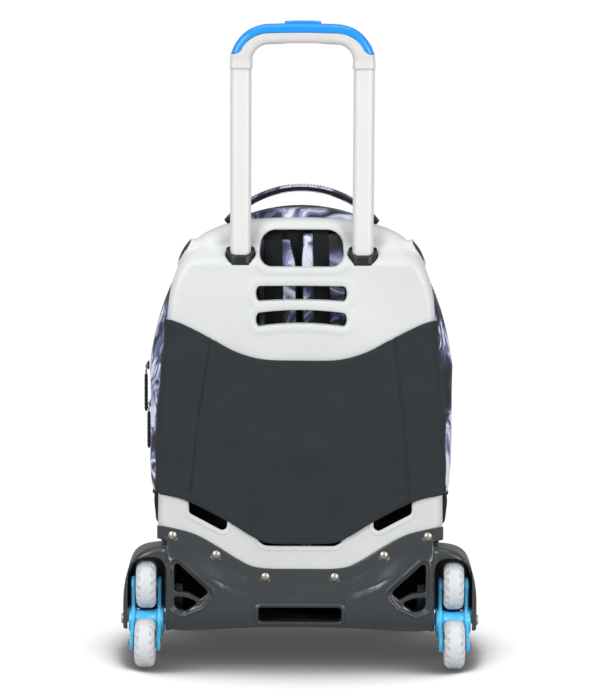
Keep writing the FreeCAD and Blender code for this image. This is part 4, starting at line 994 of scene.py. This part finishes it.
for side, sign in SIDES.items():
    node = "star_plates_" + side
    low, high = box_mm(node)
    place(carve(node + "_skin", star_field, low, high, 0.85), "star", "star_" + side, node)
    for which in STARS:
        y, z = wheel_centre(which)
        wheel = "_".join((side, which))
        tyre = tyre_mesh("tyre_skin_" + wheel, (sign * STAR_X, y, z))
        place(tyre, "tyre", "wheel_" + wheel, "tyre_" + wheel)
        core = carve("core_skin_" + wheel, core_field, (-13, -16, -16), (13, 16, 16), 0.9)
        core.data.transform(Matrix.Translation(Vector((sign * STAR_X, y, z)) * MM))
        place(core, "core", "wheel_" + wheel, "core_" + wheel)

# ---- fabric cover stretched over the shell --------------------------------------------------------------
COVER_TOP = [(141, 366), (128, 361), (112, 353.5), (98, 346.5), (71, 333), (41, 325)]
COVER_TOP_MIDDLE = 324.0
COVER_BOTTOM = [(151, 184), (117.4, 176.2), (77, 155.3), (47.7, 136.9), (31, 130.5)]
COVER_BOTTOM_MIDDLE = 130.0
COVER_CLOTH = 1.4                       # thickness with its lining
COVER_REACH = -46.0                     # how far forward the cover goes along the shell's sides
# each seam's upper and lower end, and how wide its valley is
SEAMS = [((-99.2, 342.4), (-112.6, 179.8), 1.0), ((102, 335.4), (110.1, 180.9), 2.4)]


def ripple(u, v, size, seed):
    """Soft cloth irregularity between about -1 and 1: a few crossing waves of uneven length."""
    rng = np.random.default_rng(seed)
    total = 0.0
    for k in range(7):
        turn = rng.uniform(0, math.pi)
        wave = size * rng.uniform(0.5, 1.6)
        phase = rng.uniform(0, 2 * math.pi)
        bend = 0.6 * np.sin((u * math.sin(turn) - v * math.cos(turn)) / (1.7 * wave) + phase)
        total = total + np.sin(2 * math.pi * (u * math.cos(turn) + v * math.sin(turn)) / wave + phase + bend)
    return total / 3.2


def height_at(x, half, middle):
    """Height at x of the smooth curve through a half outline and its mirror image."""
    path = through(both_sides(half, middle), 6)[::-1]
    return np.interp(x, path[:, 0], path[:, 1])


def fabric_cover():
    """The cover as one sheet: s runs round the shell's back and sides, v from its lower edge to its top."""
    columns, rows = ((230, 130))
    flat_half = 137.0
    arc = SHELL_EDGE * math.pi / 2
    side = COVER_REACH - (SHELL_BACK + SHELL_EDGE)
    s = np.linspace(-1, 1, columns) * (flat_half + arc + side)
    v = (1 - np.cos(np.pi * np.linspace(0, 1, rows))) / 2 * 0.45 + np.linspace(0, 1, rows) * 0.55
    s, v = np.meshgrid(s, v, indexing="ij")
    nominal = np.clip(s, -flat_half - 9, flat_half + 9)
    z_top = height_at(nominal, COVER_TOP, COVER_TOP_MIDDLE)
    z_low = height_at(nominal, COVER_BOTTOM, COVER_BOTTOM_MIDDLE)
    z = z_low + v * (z_top - z_low)
    half_x, half_z = zip(*SHELL_SIDE)
    width = np.interp(z, half_z, half_x)
    from_edge = np.minimum(z_top - z, z - z_low)
    hem = ramp(9.0 - from_edge, 0, 1.2) * ramp(from_edge, -0.2, 1.0)
    slack = np.clip(from_edge / 60, 0, 1)
    lift = 1.2 + 0.6 * hem - 0.35 * bump(from_edge - 7.6, 0.8)
    lift = lift + 0.75 * (1 + ripple(s, z * 1.3, 95, 3))
    lift = lift + 0.45 * slack * (1 + ripple(s * 1.5, z * 0.6, 46, 8))
    pull = bump(from_edge - 14, 9) * np.sin(s / 5.1 + 1.3 * np.sin(s / 23)) * ramp(abs(s), 30, 110)
    lift = lift + 0.40 * (pull + 1) * bump(from_edge - 16, 11)
    for (x0, z0), (x1, z1), wide in SEAMS:
        across = s - np.interp(z, [z1, z0], [x1, x0])
        lift = lift - 1.5 * bump(across, wide) + 1.0 * bump(abs(across) - 2.4 - wide, 1.2 + wide)
        lift = lift + 0.16 * bump(across, 9) * np.sin(z / 2.3)
    flat_x = np.clip(s, -flat_half, flat_half) * (width - SHELL_EDGE) / flat_half
    over = np.clip(abs(s) - flat_half, 0, arc) / SHELL_EDGE
    forward = np.clip(abs(s) - flat_half - arc, 0, None)
    sign = np.sign(s)
    x = flat_x + sign * (SHELL_EDGE + lift) * np.sin(over)
    y = SHELL_BACK + SHELL_EDGE - (SHELL_EDGE + lift) * np.cos(over) + forward
    verts = np.stack([x, y, z], axis=-1).reshape(-1, 3)
    uvs = np.stack([s, z], axis=-1).reshape(-1, 2)
    cover = mesh_object("fabric_cover", verts, grid_faces(columns, rows), uvs)
    thick = cover.modifiers.new("cloth", "SOLIDIFY")
    thick.thickness = COVER_CLOTH * MM
    thick.offset = 1.0
    place(cover, "cover", "trolley", "back_cover")
    for name, row in (("cover_hem_stitches_top", -1), ("cover_hem_stitches_low", 0)):
        edge = z_top[:, 0] - 6.6 if row else z_low[:, 0] + 6.6
        path = np.stack([x[:, row], y[:, row], edge], axis=1)
        outward = np.stack([sign[:, 0] * np.sin(over[:, 0]), -np.cos(over[:, 0]), 0 * edge], axis=1)
        path = path + outward * (COVER_CLOTH + 0.1)
        place(stitches(name, path, outward), "tape", "trolley")


fabric_cover()

# ---- pack ---------------------------------------------------------------------------------------------
PACK_LOW = [(137, 44.6), (150, 90), (157.5, 150), (162.5, 204)]
PACK_HIGH = [(162.5, 310), (157.5, 338), (147.5, 374), (131, 411), (110, 438), (83, 459), (45, 475)]
FRONT_HIGH = [(162.5, 296), (154, 340), (133, 382), (100, 410), (50, 427)]
PACK_TOP, FRONT_TOP = 481.0, 432.0
PACK_BACK, PACK_MIDDLE, PACK_FRONT = -38.5, 50.0, 100.0
BOOT_TOP = 172.0
MAIN_ZIP_Y, FRONT_ZIP_Y = 14.0, 68.0
CLOTH_GRID = 2.6


def pack_curve(high, top):
    """Pack outline, from the right foot over the top to the left foot."""
    up = through(PACK_LOW, 5)
    over = through(both_sides(high, top), 5)
    down = up[::-1] * [-1, 1]
    return np.vstack([up, over, down])


main_curve = pack_curve(PACK_HIGH, PACK_TOP)
front_curve = pack_curve(FRONT_HIGH, FRONT_TOP)
main_outline = Outline(main_curve, cell=1.5)
front_outline = Outline(front_curve, cell=1.5)
WELL_FRONT, WELL_TOP, WELL_SIDE = 23.0, 138.0, 133.5


def creases(x, y, z, seed):
    """Cloth unevenness over a body: broad billows and shorter slanting creases."""
    broad = ripple(x + 0.7 * y, z - 0.4 * y, 130, seed)
    short = ripple(x * 1.1 - y, z * 0.8 + 0.9 * y, 46, seed + 5)
    return 0.9 * (0.9 + 0.6 * broad + 0.3 * short)


def gather(y, z, zip_y):
    """How far the cloth is drawn in at its seams: behind the front part, at a zip and at the boot."""
    return 1.6 * (bump(y - PACK_MIDDLE, 5) + bump(y - zip_y, 6) + bump(z - BOOT_TOP, 7))


def top_fall(y, z):
    """How far the soft top of the pack sinks towards its front."""
    return 5.0 * ramp(y, -20, 45) * ramp(z, 360, 470)


def main_field(x, y, z):
    """The main body, with a soft top and a hollow over the wheel wells."""
    z = z + top_fall(y, z)
    edge = main_outline(x, z) + gather(y, z, MAIN_ZIP_Y) + creases(x, y, z, 11)
    body = meet(fillet_max(edge, PACK_BACK + 0.6 - y, 17.0), y - PACK_MIDDLE)
    return fillet_max(body, -meet(WELL_SIDE - abs(x), y - WELL_FRONT, z - WELL_TOP), 5.0)


def front_field(x, y, z):
    edge = front_outline(x, z) + gather(y, z, FRONT_ZIP_Y) + creases(x, y, z, 23)
    face = PACK_FRONT - 1.5 - 0.9 * ripple(x, z, 90, 31) - 0.4 * ripple(x, z, 33, 35)
    return meet(fillet_max(edge, y - face, 18.0), PACK_MIDDLE + 0.3 - y)


POCKET_HALF, POCKET_LOW, POCKET_HIGH, POCKET_FRONT = 112.0, 66.0, 252.0, 130.0


def pocket_field(x, y, z):
    middle, half = (POCKET_LOW + POCKET_HIGH) / 2, (POCKET_HIGH - POCKET_LOW) / 2
    edge = round_box(x, z - middle, POCKET_HALF, half, 26.0) + 0.6 + 0.5 * ripple(x + y, z, 40, 41)
    bulge = 8.0 * np.clip(1 - (x / POCKET_HALF) ** 2, 0, 1) * np.clip(1 - ((z - middle) / half) ** 2, 0, 1)
    face = POCKET_FRONT - 9.0 + bulge - 0.5 * ripple(x, z, 52, 47)
    return meet(fillet_max(edge, y - face, 12.0), PACK_FRONT + 0.3 - y)


def cloth_body(name, field, low, high, kind, node, step=CLOTH_GRID):
    """One padded body of the pack, with cloth coordinates for its weave."""
    piece = carve(name, field, low, high, step)
    box_uv(piece)
    place(piece, kind, "pack", node)


def box_uv(piece):
    """Flat cloth coordinates, from the side that each face looks to."""
    mesh = piece.data
    layer = mesh.uv_layers.active or mesh.uv_layers.new(name="cloth")
    co = np.zeros(len(mesh.vertices) * 3)
    mesh.vertices.foreach_get("co", co)
    co = co.reshape(-1, 3)
    normal = np.zeros(len(mesh.polygons) * 3)
    mesh.polygons.foreach_get("normal", normal)
    axis = np.argmax(abs(normal.reshape(-1, 3)), axis=1)
    index = np.zeros(len(mesh.loops), int)
    mesh.loops.foreach_get("vertex_index", index)
    total = np.zeros(len(mesh.polygons), int)
    mesh.polygons.foreach_get("loop_total", total)
    axis = np.repeat(axis, total)
    point = co[index]
    u = np.where(axis == 0, point[:, 1], point[:, 0])
    v = np.where(axis == 2, point[:, 1], point[:, 2])
    layer.data.foreach_set("uv", np.stack([u, v], axis=1).ravel())


def split_body(field, low, high, upper, lower):
    """A body in two pieces that meet in the seam at the top of the boot; each has a name and a node."""
    for (name, node), kind, side in ((upper, "print", 1), (lower, "boot", -1)):
        def part(x, y, z, side=side):
            return fillet_max(field(x, y, z), side * (BOOT_TOP - z) + 0.2, 1.5)
        cloth_body(name, part, low, high, kind, node)


split_body(main_field, (-163, PACK_BACK, 44), (163, PACK_MIDDLE, 482), ("pack_main", "bag_main"),
           ("pack_boot", "bag_boot"))
split_body(front_field, (-163, PACK_MIDDLE, 44), (163, PACK_FRONT, 433), ("pack_front", "front_bag"),
           ("pack_front_boot", "front_boot"))
cloth_body("pack_pocket", pocket_field, (-113, PACK_FRONT, POCKET_LOW), (113, POCKET_FRONT, POCKET_HIGH),
           "print", "front_pocket")


def outline_path(curve, y, grow, z_from=None):
    """Points along a pack outline at depth y, moved outwards, and their outward directions."""
    ahead = np.gradient(curve, axis=0)
    outward = np.stack([ahead[:, 1], -ahead[:, 0]], axis=1)
    outward /= np.linalg.norm(outward, axis=1)[:, None]
    points = curve + outward * grow
    if z_from is not None:
        keep = curve[:, 1] >= z_from
        points, outward = points[keep], outward[keep]
    height = points[:, 1] - top_fall(y, points[:, 1])
    path = np.stack([points[:, 0], np.full(len(points), y), height], axis=1)
    return path, np.stack([outward[:, 0], 0 * outward[:, 0], outward[:, 1]], axis=1)


def piping(name, path, radius=1.7, across=(0.0, 1.0, 0.0), closed=False):
    place(sweep(name, path, across, ring_section(radius, 10), closed), "tape", "pack")


path, _ = outline_path(main_curve, PACK_MIDDLE, -2.2)
piping("piping_main", path)
path, _ = outline_path(front_curve, PACK_FRONT - 7, -5.5)
piping("piping_front", path)


def waist_path():
    """Once round the pack at the top of its boot."""
    low_x, low_z = zip(*PACK_LOW)
    half = np.interp(BOOT_TOP, low_z, low_x) - 1.9
    back, front = PACK_BACK + 1.5, PACK_FRONT - 1.8
    corners = rounded([(half, back), (half, front), (-half, front), (-half, back)], 16.0, 9)
    return [(x, y, BOOT_TOP) for x, y in corners]


piping("piping_waist", waist_path(), 1.6, (0.0, 0.0, 1.0), closed=True)


def zip_fastener(name, path, outward, node):
    """Cloth tapes on both sides of a row of interlocking teeth."""
    side = np.cross(np.gradient(path, axis=0), outward)
    side /= np.linalg.norm(side, axis=1)[:, None]
    tapes = []
    for k in (-1, 1):
        tape = sweep(name + "_tape" + str(k), path + side * 5.4 * k, outward, flat_section(8.0, 1.0))
        tapes.append(paint(tape, "tape"))
    run = run_along(path)
    verts, faces = [], []
    for i, at in enumerate(np.arange(1.0, run[-1] - 1.0, 1.6)):
        middle, up, across = [np.array([np.interp(at, run, v[:, k]) for k in range(3)])
                              for v in (path, outward, side)]
        ahead = np.cross(up, across)
        middle = middle + across * (0.8 if i % 2 else -0.8) + up * 0.5
        base = len(verts)
        for a, b, c in ((-1, -1, 0), (1, -1, 0), (1, 1, 0), (-1, 1, 0), (-0.7, -0.7, 1), (0.7, -0.7, 1),
                        (0.7, 0.7, 1), (-0.7, 0.7, 1)):
            verts.append(middle + ahead * a * 0.6 + across * b * 1.9 + up * c * 0.9)
        faces += [(base + p, base + q, base + r, base + s) for p, q, r, s in
                  ((3, 2, 1, 0), (4, 5, 6, 7), (0, 1, 5, 4), (1, 2, 6, 5), (2, 3, 7, 6), (3, 0, 4, 7))]
    teeth = paint(mesh_object(name + "_teeth", verts, faces, smooth=False), "trim")
    place(joined(name, tapes + [teeth]), None, "pack", node)


zip_fastener("zip_main_row", *outline_path(main_curve, MAIN_ZIP_Y, -0.9, 206), "zip_main")
zip_fastener("zip_front_row", *outline_path(front_curve, FRONT_ZIP_Y, -0.9, 206), "zip_front")
POCKET_ZIP_Z = 304.0
path = np.array([(x, PACK_FRONT + 0.3, POCKET_ZIP_Z) for x in np.linspace(-96, 96, 33)])
zip_fastener("zip_pocket_row", path, np.tile([0.0, 1.0, 0.0], (len(path), 1)), "zip_pocket")

# ---- zip sliders and pulls --------------------------------------------------------------------------------
def slider_field(u, v, w):
    """Slider lying flat, with a bridge for its ring: u along the zip, v across it, w out from the teeth."""
    body = fillet_max(round_box(u, v, 4.5, 4.0 - 1.3 * ramp(-u, -1, 4.5), 1.6), abs(w - 1.0) - 1.0, 0.6)
    arch = fillet_max(abs(np.hypot(u, (w - 1.0) * 1.25) - 2.6) - 0.55, abs(v) - 1.1, 0.3)
    return np.minimum(body, np.maximum(arch, 1.0 - w))


RING_DROP = 4.2                         # from a ring's middle to the top of its tab


def pull_piece(name, hang, out, across, length, node, body):
    """Wire ring and moulded cord tab hanging from it."""
    hang, out, across = [np.asarray(v, float) for v in (hang, out, across)]
    turn = np.linspace(0, 2 * math.pi, 33)[:-1]
    ring_path = hang + 4.6 * (np.cos(turn)[:, None] * across + np.sin(turn)[:, None] * np.array([0, 0, 1.0]))
    ring = paint(sweep(name + "_ring", ring_path, out, ring_section(0.8), closed=True), "bright")
    rows, count = 24, 14
    verts = []
    for t in np.linspace(0, 1, rows + 1):
        ends = math.sqrt(max(1 - abs(2 * t - 1) ** 14, 0.02))
        wide = (2.4 - 0.9 * bump(t - 0.12, 0.05) - 0.5 * bump(t - 0.86, 0.03)) * ends
        deep = 1.9 * ends + 0.15 * math.sin(t * 90)
        for a, b in ring_section(1.0, count):
            point = hang + across * a * wide + out * b * deep
            verts.append((point[0], point[1], hang[2] - RING_DROP - t * length))
    faces = [(i + j, i + (j + 1) % count, i + count + (j + 1) % count, i + count + j)
             for i in range(0, rows * count, count) for j in range(count)]
    faces += [tuple(range(count))[::-1], tuple(rows * count + j for j in range(count))]
    tab = paint(mesh_object(name + "_tab", verts, faces), "rubber")
    place(joined(name, [ring, tab]), None, body, node)


for which, out, across in (("main", (-1, 0, 0), (0, 1, 0)), ("front", (-1, 0, 0), (0, 1, 0)),
                           ("pocket", (0, 1, 0), (1, 0, 0))):
    node = "slider_" + which
    low, high = box_mm(node)
    centre = (low + high) / 2
    slider = carve(node + "_body", slider_field, (-5, -4.5, -0.5), (5, 4.5, 4.6), 0.35)
    frame_axes = Matrix((across, out, (0, 0, 1))).transposed()
    turned = frame_axes @ Matrix(((0, 1, 0), (0, 0, 1), (1, 0, 0)))
    if which == "pocket":
        turned = frame_axes @ Matrix(((1, 0, 0), (0, 0, 1), (0, 1, 0)))
    back = centre - np.array(out) * 1.6
    slider.data.transform(Matrix.Translation(Vector(back) * MM) @ turned.to_4x4())
    slider.data.update()
    place(slider, "trim", node, node)
    node = "pull_" + which
    low, high = box_mm(node)
    hang = (low + high) / 2
    hang[2] = high[2] - 5.5
    hang = hang - np.array(out) * 1.3
    pull_piece(node + "_piece", hang, out, across, hang[2] - RING_DROP - low[2], node, node)

# ---- back panel, straps and carry handle ------------------------------------------------------------------
PANEL_BACK, PANEL_FRONT = -45.0, -38.9
PANEL_LOW, PANEL_HIGH = 120, 458


def panel_field(x, y, z):
    """Quilted pad inside the shell's outline, clear of the corner pads."""
    edge = shell_outline(x, z) + 13.5
    quilt = 0.9 * (bump(x, 1.6) + bump(abs(x) - 58, 1.6)) + 0.9 * bump((z - 60) % 62 - 31, 1.6)
    body = fillet_max(edge, PANEL_BACK + 0.6 + quilt - y, 2.6)
    body = meet(body, y - PANEL_FRONT, PANEL_LOW - z, z - PANEL_HIGH)
    u, v, w = corner_axes(x, y, z)
    return meet(body, -meet(pad_shape(u, v, 5.0), w - 4.0))


cloth_body("back_pad", panel_field, (-150, PANEL_BACK, PANEL_LOW), (150, PANEL_FRONT, PANEL_HIGH), "boot",
           "back_panel")
STRAP_BACK, STRAP_FRONT = -54.2, -45.4
STRAP_LOW = 119.0
# each strap's middle and half width, its tape's middle and half width, and its top
STRAPS = {"left": (-26.0, 22.0, -29.5, 9.5, 448.0), "right": (24.0, 24.5, 20.5, 8.5, 454.0)}


def strap_outline(z, side):
    """Centre and half width of a stowed shoulder strap at height z."""
    centre, half = STRAPS[side][:2]
    sway = 2.2 * np.sin((z - 200) / 60) - (7.0 if side == "left" else 0.0) * ramp(z, 412, 452)
    return centre + sway * 0.6, half - 2.0 * ramp(z, 420, 447) - 1.2 + 0.8 * np.sin(z / 34)


def strap_field(side):
    """Field of one strap: a low crown across its width, and rounded ends."""
    top = STRAPS[side][4]
    middle, deep = (STRAP_BACK + STRAP_FRONT) / 2, (STRAP_FRONT - STRAP_BACK) / 2

    def field(x, y, z):
        centre, half = strap_outline(z, side)
        crown = deep - 0.5 - 1.6 * ((x - centre) / half) ** 2 + 0.25 * ripple(x, z, 38, 61)
        body = fillet_max(abs(x - centre) - half, abs(y - middle) - crown, 2.2)
        return fillet_max(body, abs(z - (STRAP_LOW + top) / 2) - (top - STRAP_LOW) / 2, 2.5)
    return field


for side, (x_middle, _, tape_x, tape_half, strap_top) in STRAPS.items():
    low, high = (x_middle - 28, STRAP_BACK, STRAP_LOW), (x_middle + 28, STRAP_FRONT, strap_top)
    cloth_body("strap_" + side, strap_field(side), low, high, "print", "shoulder_straps",
               1.6)
    height = np.linspace(STRAP_LOW + 2, strap_top - 3, 60)
    centre, half = strap_outline(height, side)
    for edge in (-1, 1):
        depth = 0 * height + (STRAP_BACK + STRAP_FRONT) / 2
        path = np.stack([centre + edge * (half - 0.2), depth, height], axis=1)
        piping("strap_piping_%s_%s" % (side, "inner" if edge * x_middle < 0 else "outer"), path, 1.5)
    height = np.linspace(STRAP_LOW + 2, strap_top + 7, 60)
    depth = STRAP_BACK - 0.1 + 7.0 * ramp(height, strap_top - 3, strap_top + 7)
    path = np.stack([tape_x + 1.2 * np.sin(height / 45), depth, height], axis=1)
    tape = sweep("strap_tape_" + side, path, (0.0, 1.0, 0.0), flat_section(2 * tape_half, 1.3))
    place(tape, "tape", "pack")

CARRY_SPAN, CARRY_FOOT, CARRY_TOP = 84.0, 464.5, 504.0
CARRY_Y, CARRY_WIDTH, CARRY_THICK = -18.0, 24.0, 8.0


def carry_handle():
    """Padded grab strap: an arch of foam in printed cloth, bound along both edges."""
    rise = CARRY_TOP - CARRY_FOOT
    radius = (CARRY_SPAN ** 2 + rise ** 2) / (2 * rise) - CARRY_THICK / 2
    centre_z = CARRY_TOP - CARRY_THICK / 2 - radius
    reach = math.acos((CARRY_FOOT + 1.5 - centre_z) / (radius + CARRY_THICK / 2))
    turn = np.linspace(-reach, reach, 60)
    outward = np.stack([np.sin(turn), 0 * turn, np.cos(turn)], axis=1)
    path = outward * radius + [0, CARRY_Y, centre_z]
    section = []
    for k in range(24):
        a = 2 * math.pi * k / 24
        c, s = math.cos(a), math.sin(a)
        section.append(((CARRY_THICK / 2 - 0.4) * np.sign(c) * abs(c) ** 0.7,
                        (CARRY_WIDTH / 2 - 1.0) * np.sign(s) * abs(s) ** 0.55))
    pad = sweep("carry_pad", path, outward, section)
    place(pad, "print", "carry_handle", "carry_handle")
    for edge, end in ((-1, "back"), (1, "front")):
        line = path + [0, edge * (CARRY_WIDTH / 2 - 1.0), 0]
        place(sweep("carry_binding_" + end, line, outward, ring_section(2.1, 12)), "tape", "carry_handle")
        rows = path + outward * (CARRY_THICK / 2 - 0.8) + [0, edge * (CARRY_WIDTH / 2 - 4.2), 0]
        place(stitches("carry_stitches_" + end, rows, outward), "tape", "carry_handle")


carry_handle()

# ---- plain design parts that keep their shape and get their finish here ------------------------------
KEPT = {"steel": ["base_rivets", "main_axles", "wheel_pins_left", "wheel_pins_right", "lock_pin_left",
                  "lock_pin_right", "push_rods"],
        "spring": ["corner_spring_left", "corner_spring_right", "button_spring", "lock_spring_left",
                   "lock_spring_right"],
        "tube": ["handle_tubes"], "sleeve": ["outer_tubes"], "spacer": ["axle_spacers"],
        "trim": ["tube_feet", "lock_blocks", "front_feet"], "rubber": ["foot_pads"]}
for kind, names in KEPT.items():
    for name in names:
        nodes[name].data.materials.clear()
        nodes[name].data.materials.append(MATERIALS[kind])

# ---- stage --------------------------------------------------------------------------------------------
FLOOR_HALF, FLOOR_Z = 3000, -0.4
ground = mesh_object("ground", [(x * FLOOR_HALF, y * FLOOR_HALF, FLOOR_Z)
                                for x, y in ((-1, -1), (1, -1), (1, 1), (-1, 1))], [(0, 1, 2, 3)])
# Floor with a painted shadow: the camera sees an emission whose colour darkens in bands where the floor's
# ambient occlusion is low, under and around the pack; other rays meet a plain grey diffuse floor.
shadow_painted_floor = Finish("floor_painted_shadow", "B4B4B4", 0.9)
near = shadow_painted_floor.add("ShaderNodeAmbientOcclusion", samples=48, Distance=0.3)
painted_shadow_share = shadow_painted_floor.spread(near.outputs["AO"], 0.06, 1.0, 0.1, 0.8)
painted_shadow_glow = shadow_painted_floor.add("ShaderNodeEmission", Strength=1.03)
# painted shadow colours, from dark grey under the pack to white away from it
tone = shadow_painted_floor.bands(painted_shadow_share, [(0.0, "4C4C4C"), (0.51, "656565"), (0.68, "838383"), (0.74, "ADADAD"),
                                 (0.80, "D5D5D5"), (0.87, "EFEFEF"), (0.93, "FCFCFC"), (0.97, "FFFFFF")])
shadow_painted_floor.link(tone, painted_shadow_glow.inputs["Color"])
seen = shadow_painted_floor.add("ShaderNodeLightPath")
choice = shadow_painted_floor.add("ShaderNodeMixShader")
shadow_painted_floor.link(seen.outputs["Is Camera Ray"], choice.inputs[0])
shadow_painted_floor.link(shadow_painted_floor.shader.outputs["BSDF"], choice.inputs[1])
shadow_painted_floor.link(painted_shadow_glow.outputs["Emission"], choice.inputs[2])
shadow_painted_floor.link(choice.outputs["Shader"], shadow_painted_floor.tree.nodes["Material Output"].inputs["Surface"])
ground.data.materials.append(shadow_painted_floor.material)


AIM = Vector((0.0, -0.05, 0.33))
for name, spot, size, watts in (("key_left", (-1.5, -1.9, 1.3), (0.9, 1.5), 36),
                                ("key_right", (1.6, -1.8, 0.9), (0.9, 1.5), 29),
                                ("overhead", (0.0, -0.2, 2.3), (1.8, 1.4), 13)):
    data = bpy.data.lights.new(name, "AREA")
    data.shape = "RECTANGLE"
    data.size, data.size_y = size
    data.energy = watts
    lamp = bpy.data.objects.new(name, data)
    lamp.location = spot
    lamp.rotation_euler = (AIM - Vector(spot)).to_track_quat("-Z", "Y").to_euler()
    bpy.context.scene.collection.objects.link(lamp)

bpy.context.scene.view_settings.view_transform = "Standard"
world = bpy.data.worlds.new("studio")
world.use_nodes = True
sky = world.node_tree
room = sky.nodes["Background"]                  # what lights the scene
backdrop = sky.nodes.new("ShaderNodeBackground")    # what the camera sees
for node, strength in ((room, 0.38), (backdrop, 1.02)):
    node.inputs["Color"].default_value = (1, 1, 1, 1)
    node.inputs["Strength"].default_value = strength
ray = sky.nodes.new("ShaderNodeLightPath")
either = sky.nodes.new("ShaderNodeMixShader")
sky.links.new(ray.outputs["Is Camera Ray"], either.inputs[0])
sky.links.new(room.outputs[0], either.inputs[1])
sky.links.new(backdrop.outputs[0], either.inputs[2])
sky.links.new(either.outputs[0], sky.nodes["World Output"].inputs["Surface"])
bpy.context.scene.world = world

TARGET = Vector((0.0, -0.075, 0.335))
DISTANCE, ELEVATION, ROLL = 3.0, math.radians(8), math.radians(0.3)
LENS = 147.8
FRAME_HEIGHT = 696                      # of the image, which is 600 wide
camera_data = bpy.data.cameras.new("camera")
camera_data.lens = LENS
camera_data.sensor_width = 36.0
camera = bpy.data.objects.new("camera", camera_data)
camera.location = TARGET + Vector((0, -math.cos(ELEVATION), math.sin(ELEVATION))) * DISTANCE
look = (TARGET - camera.location).to_track_quat("-Z", "Y").to_matrix() @ Matrix.Rotation(ROLL, 3, "Z")
camera.rotation_euler = look.to_euler()
camera_data.shift_x = -1.2 / FRAME_HEIGHT
camera_data.shift_y = 1.0 / FRAME_HEIGHT
bpy.context.scene.collection.objects.link(camera)
bpy.context.scene.camera = camera
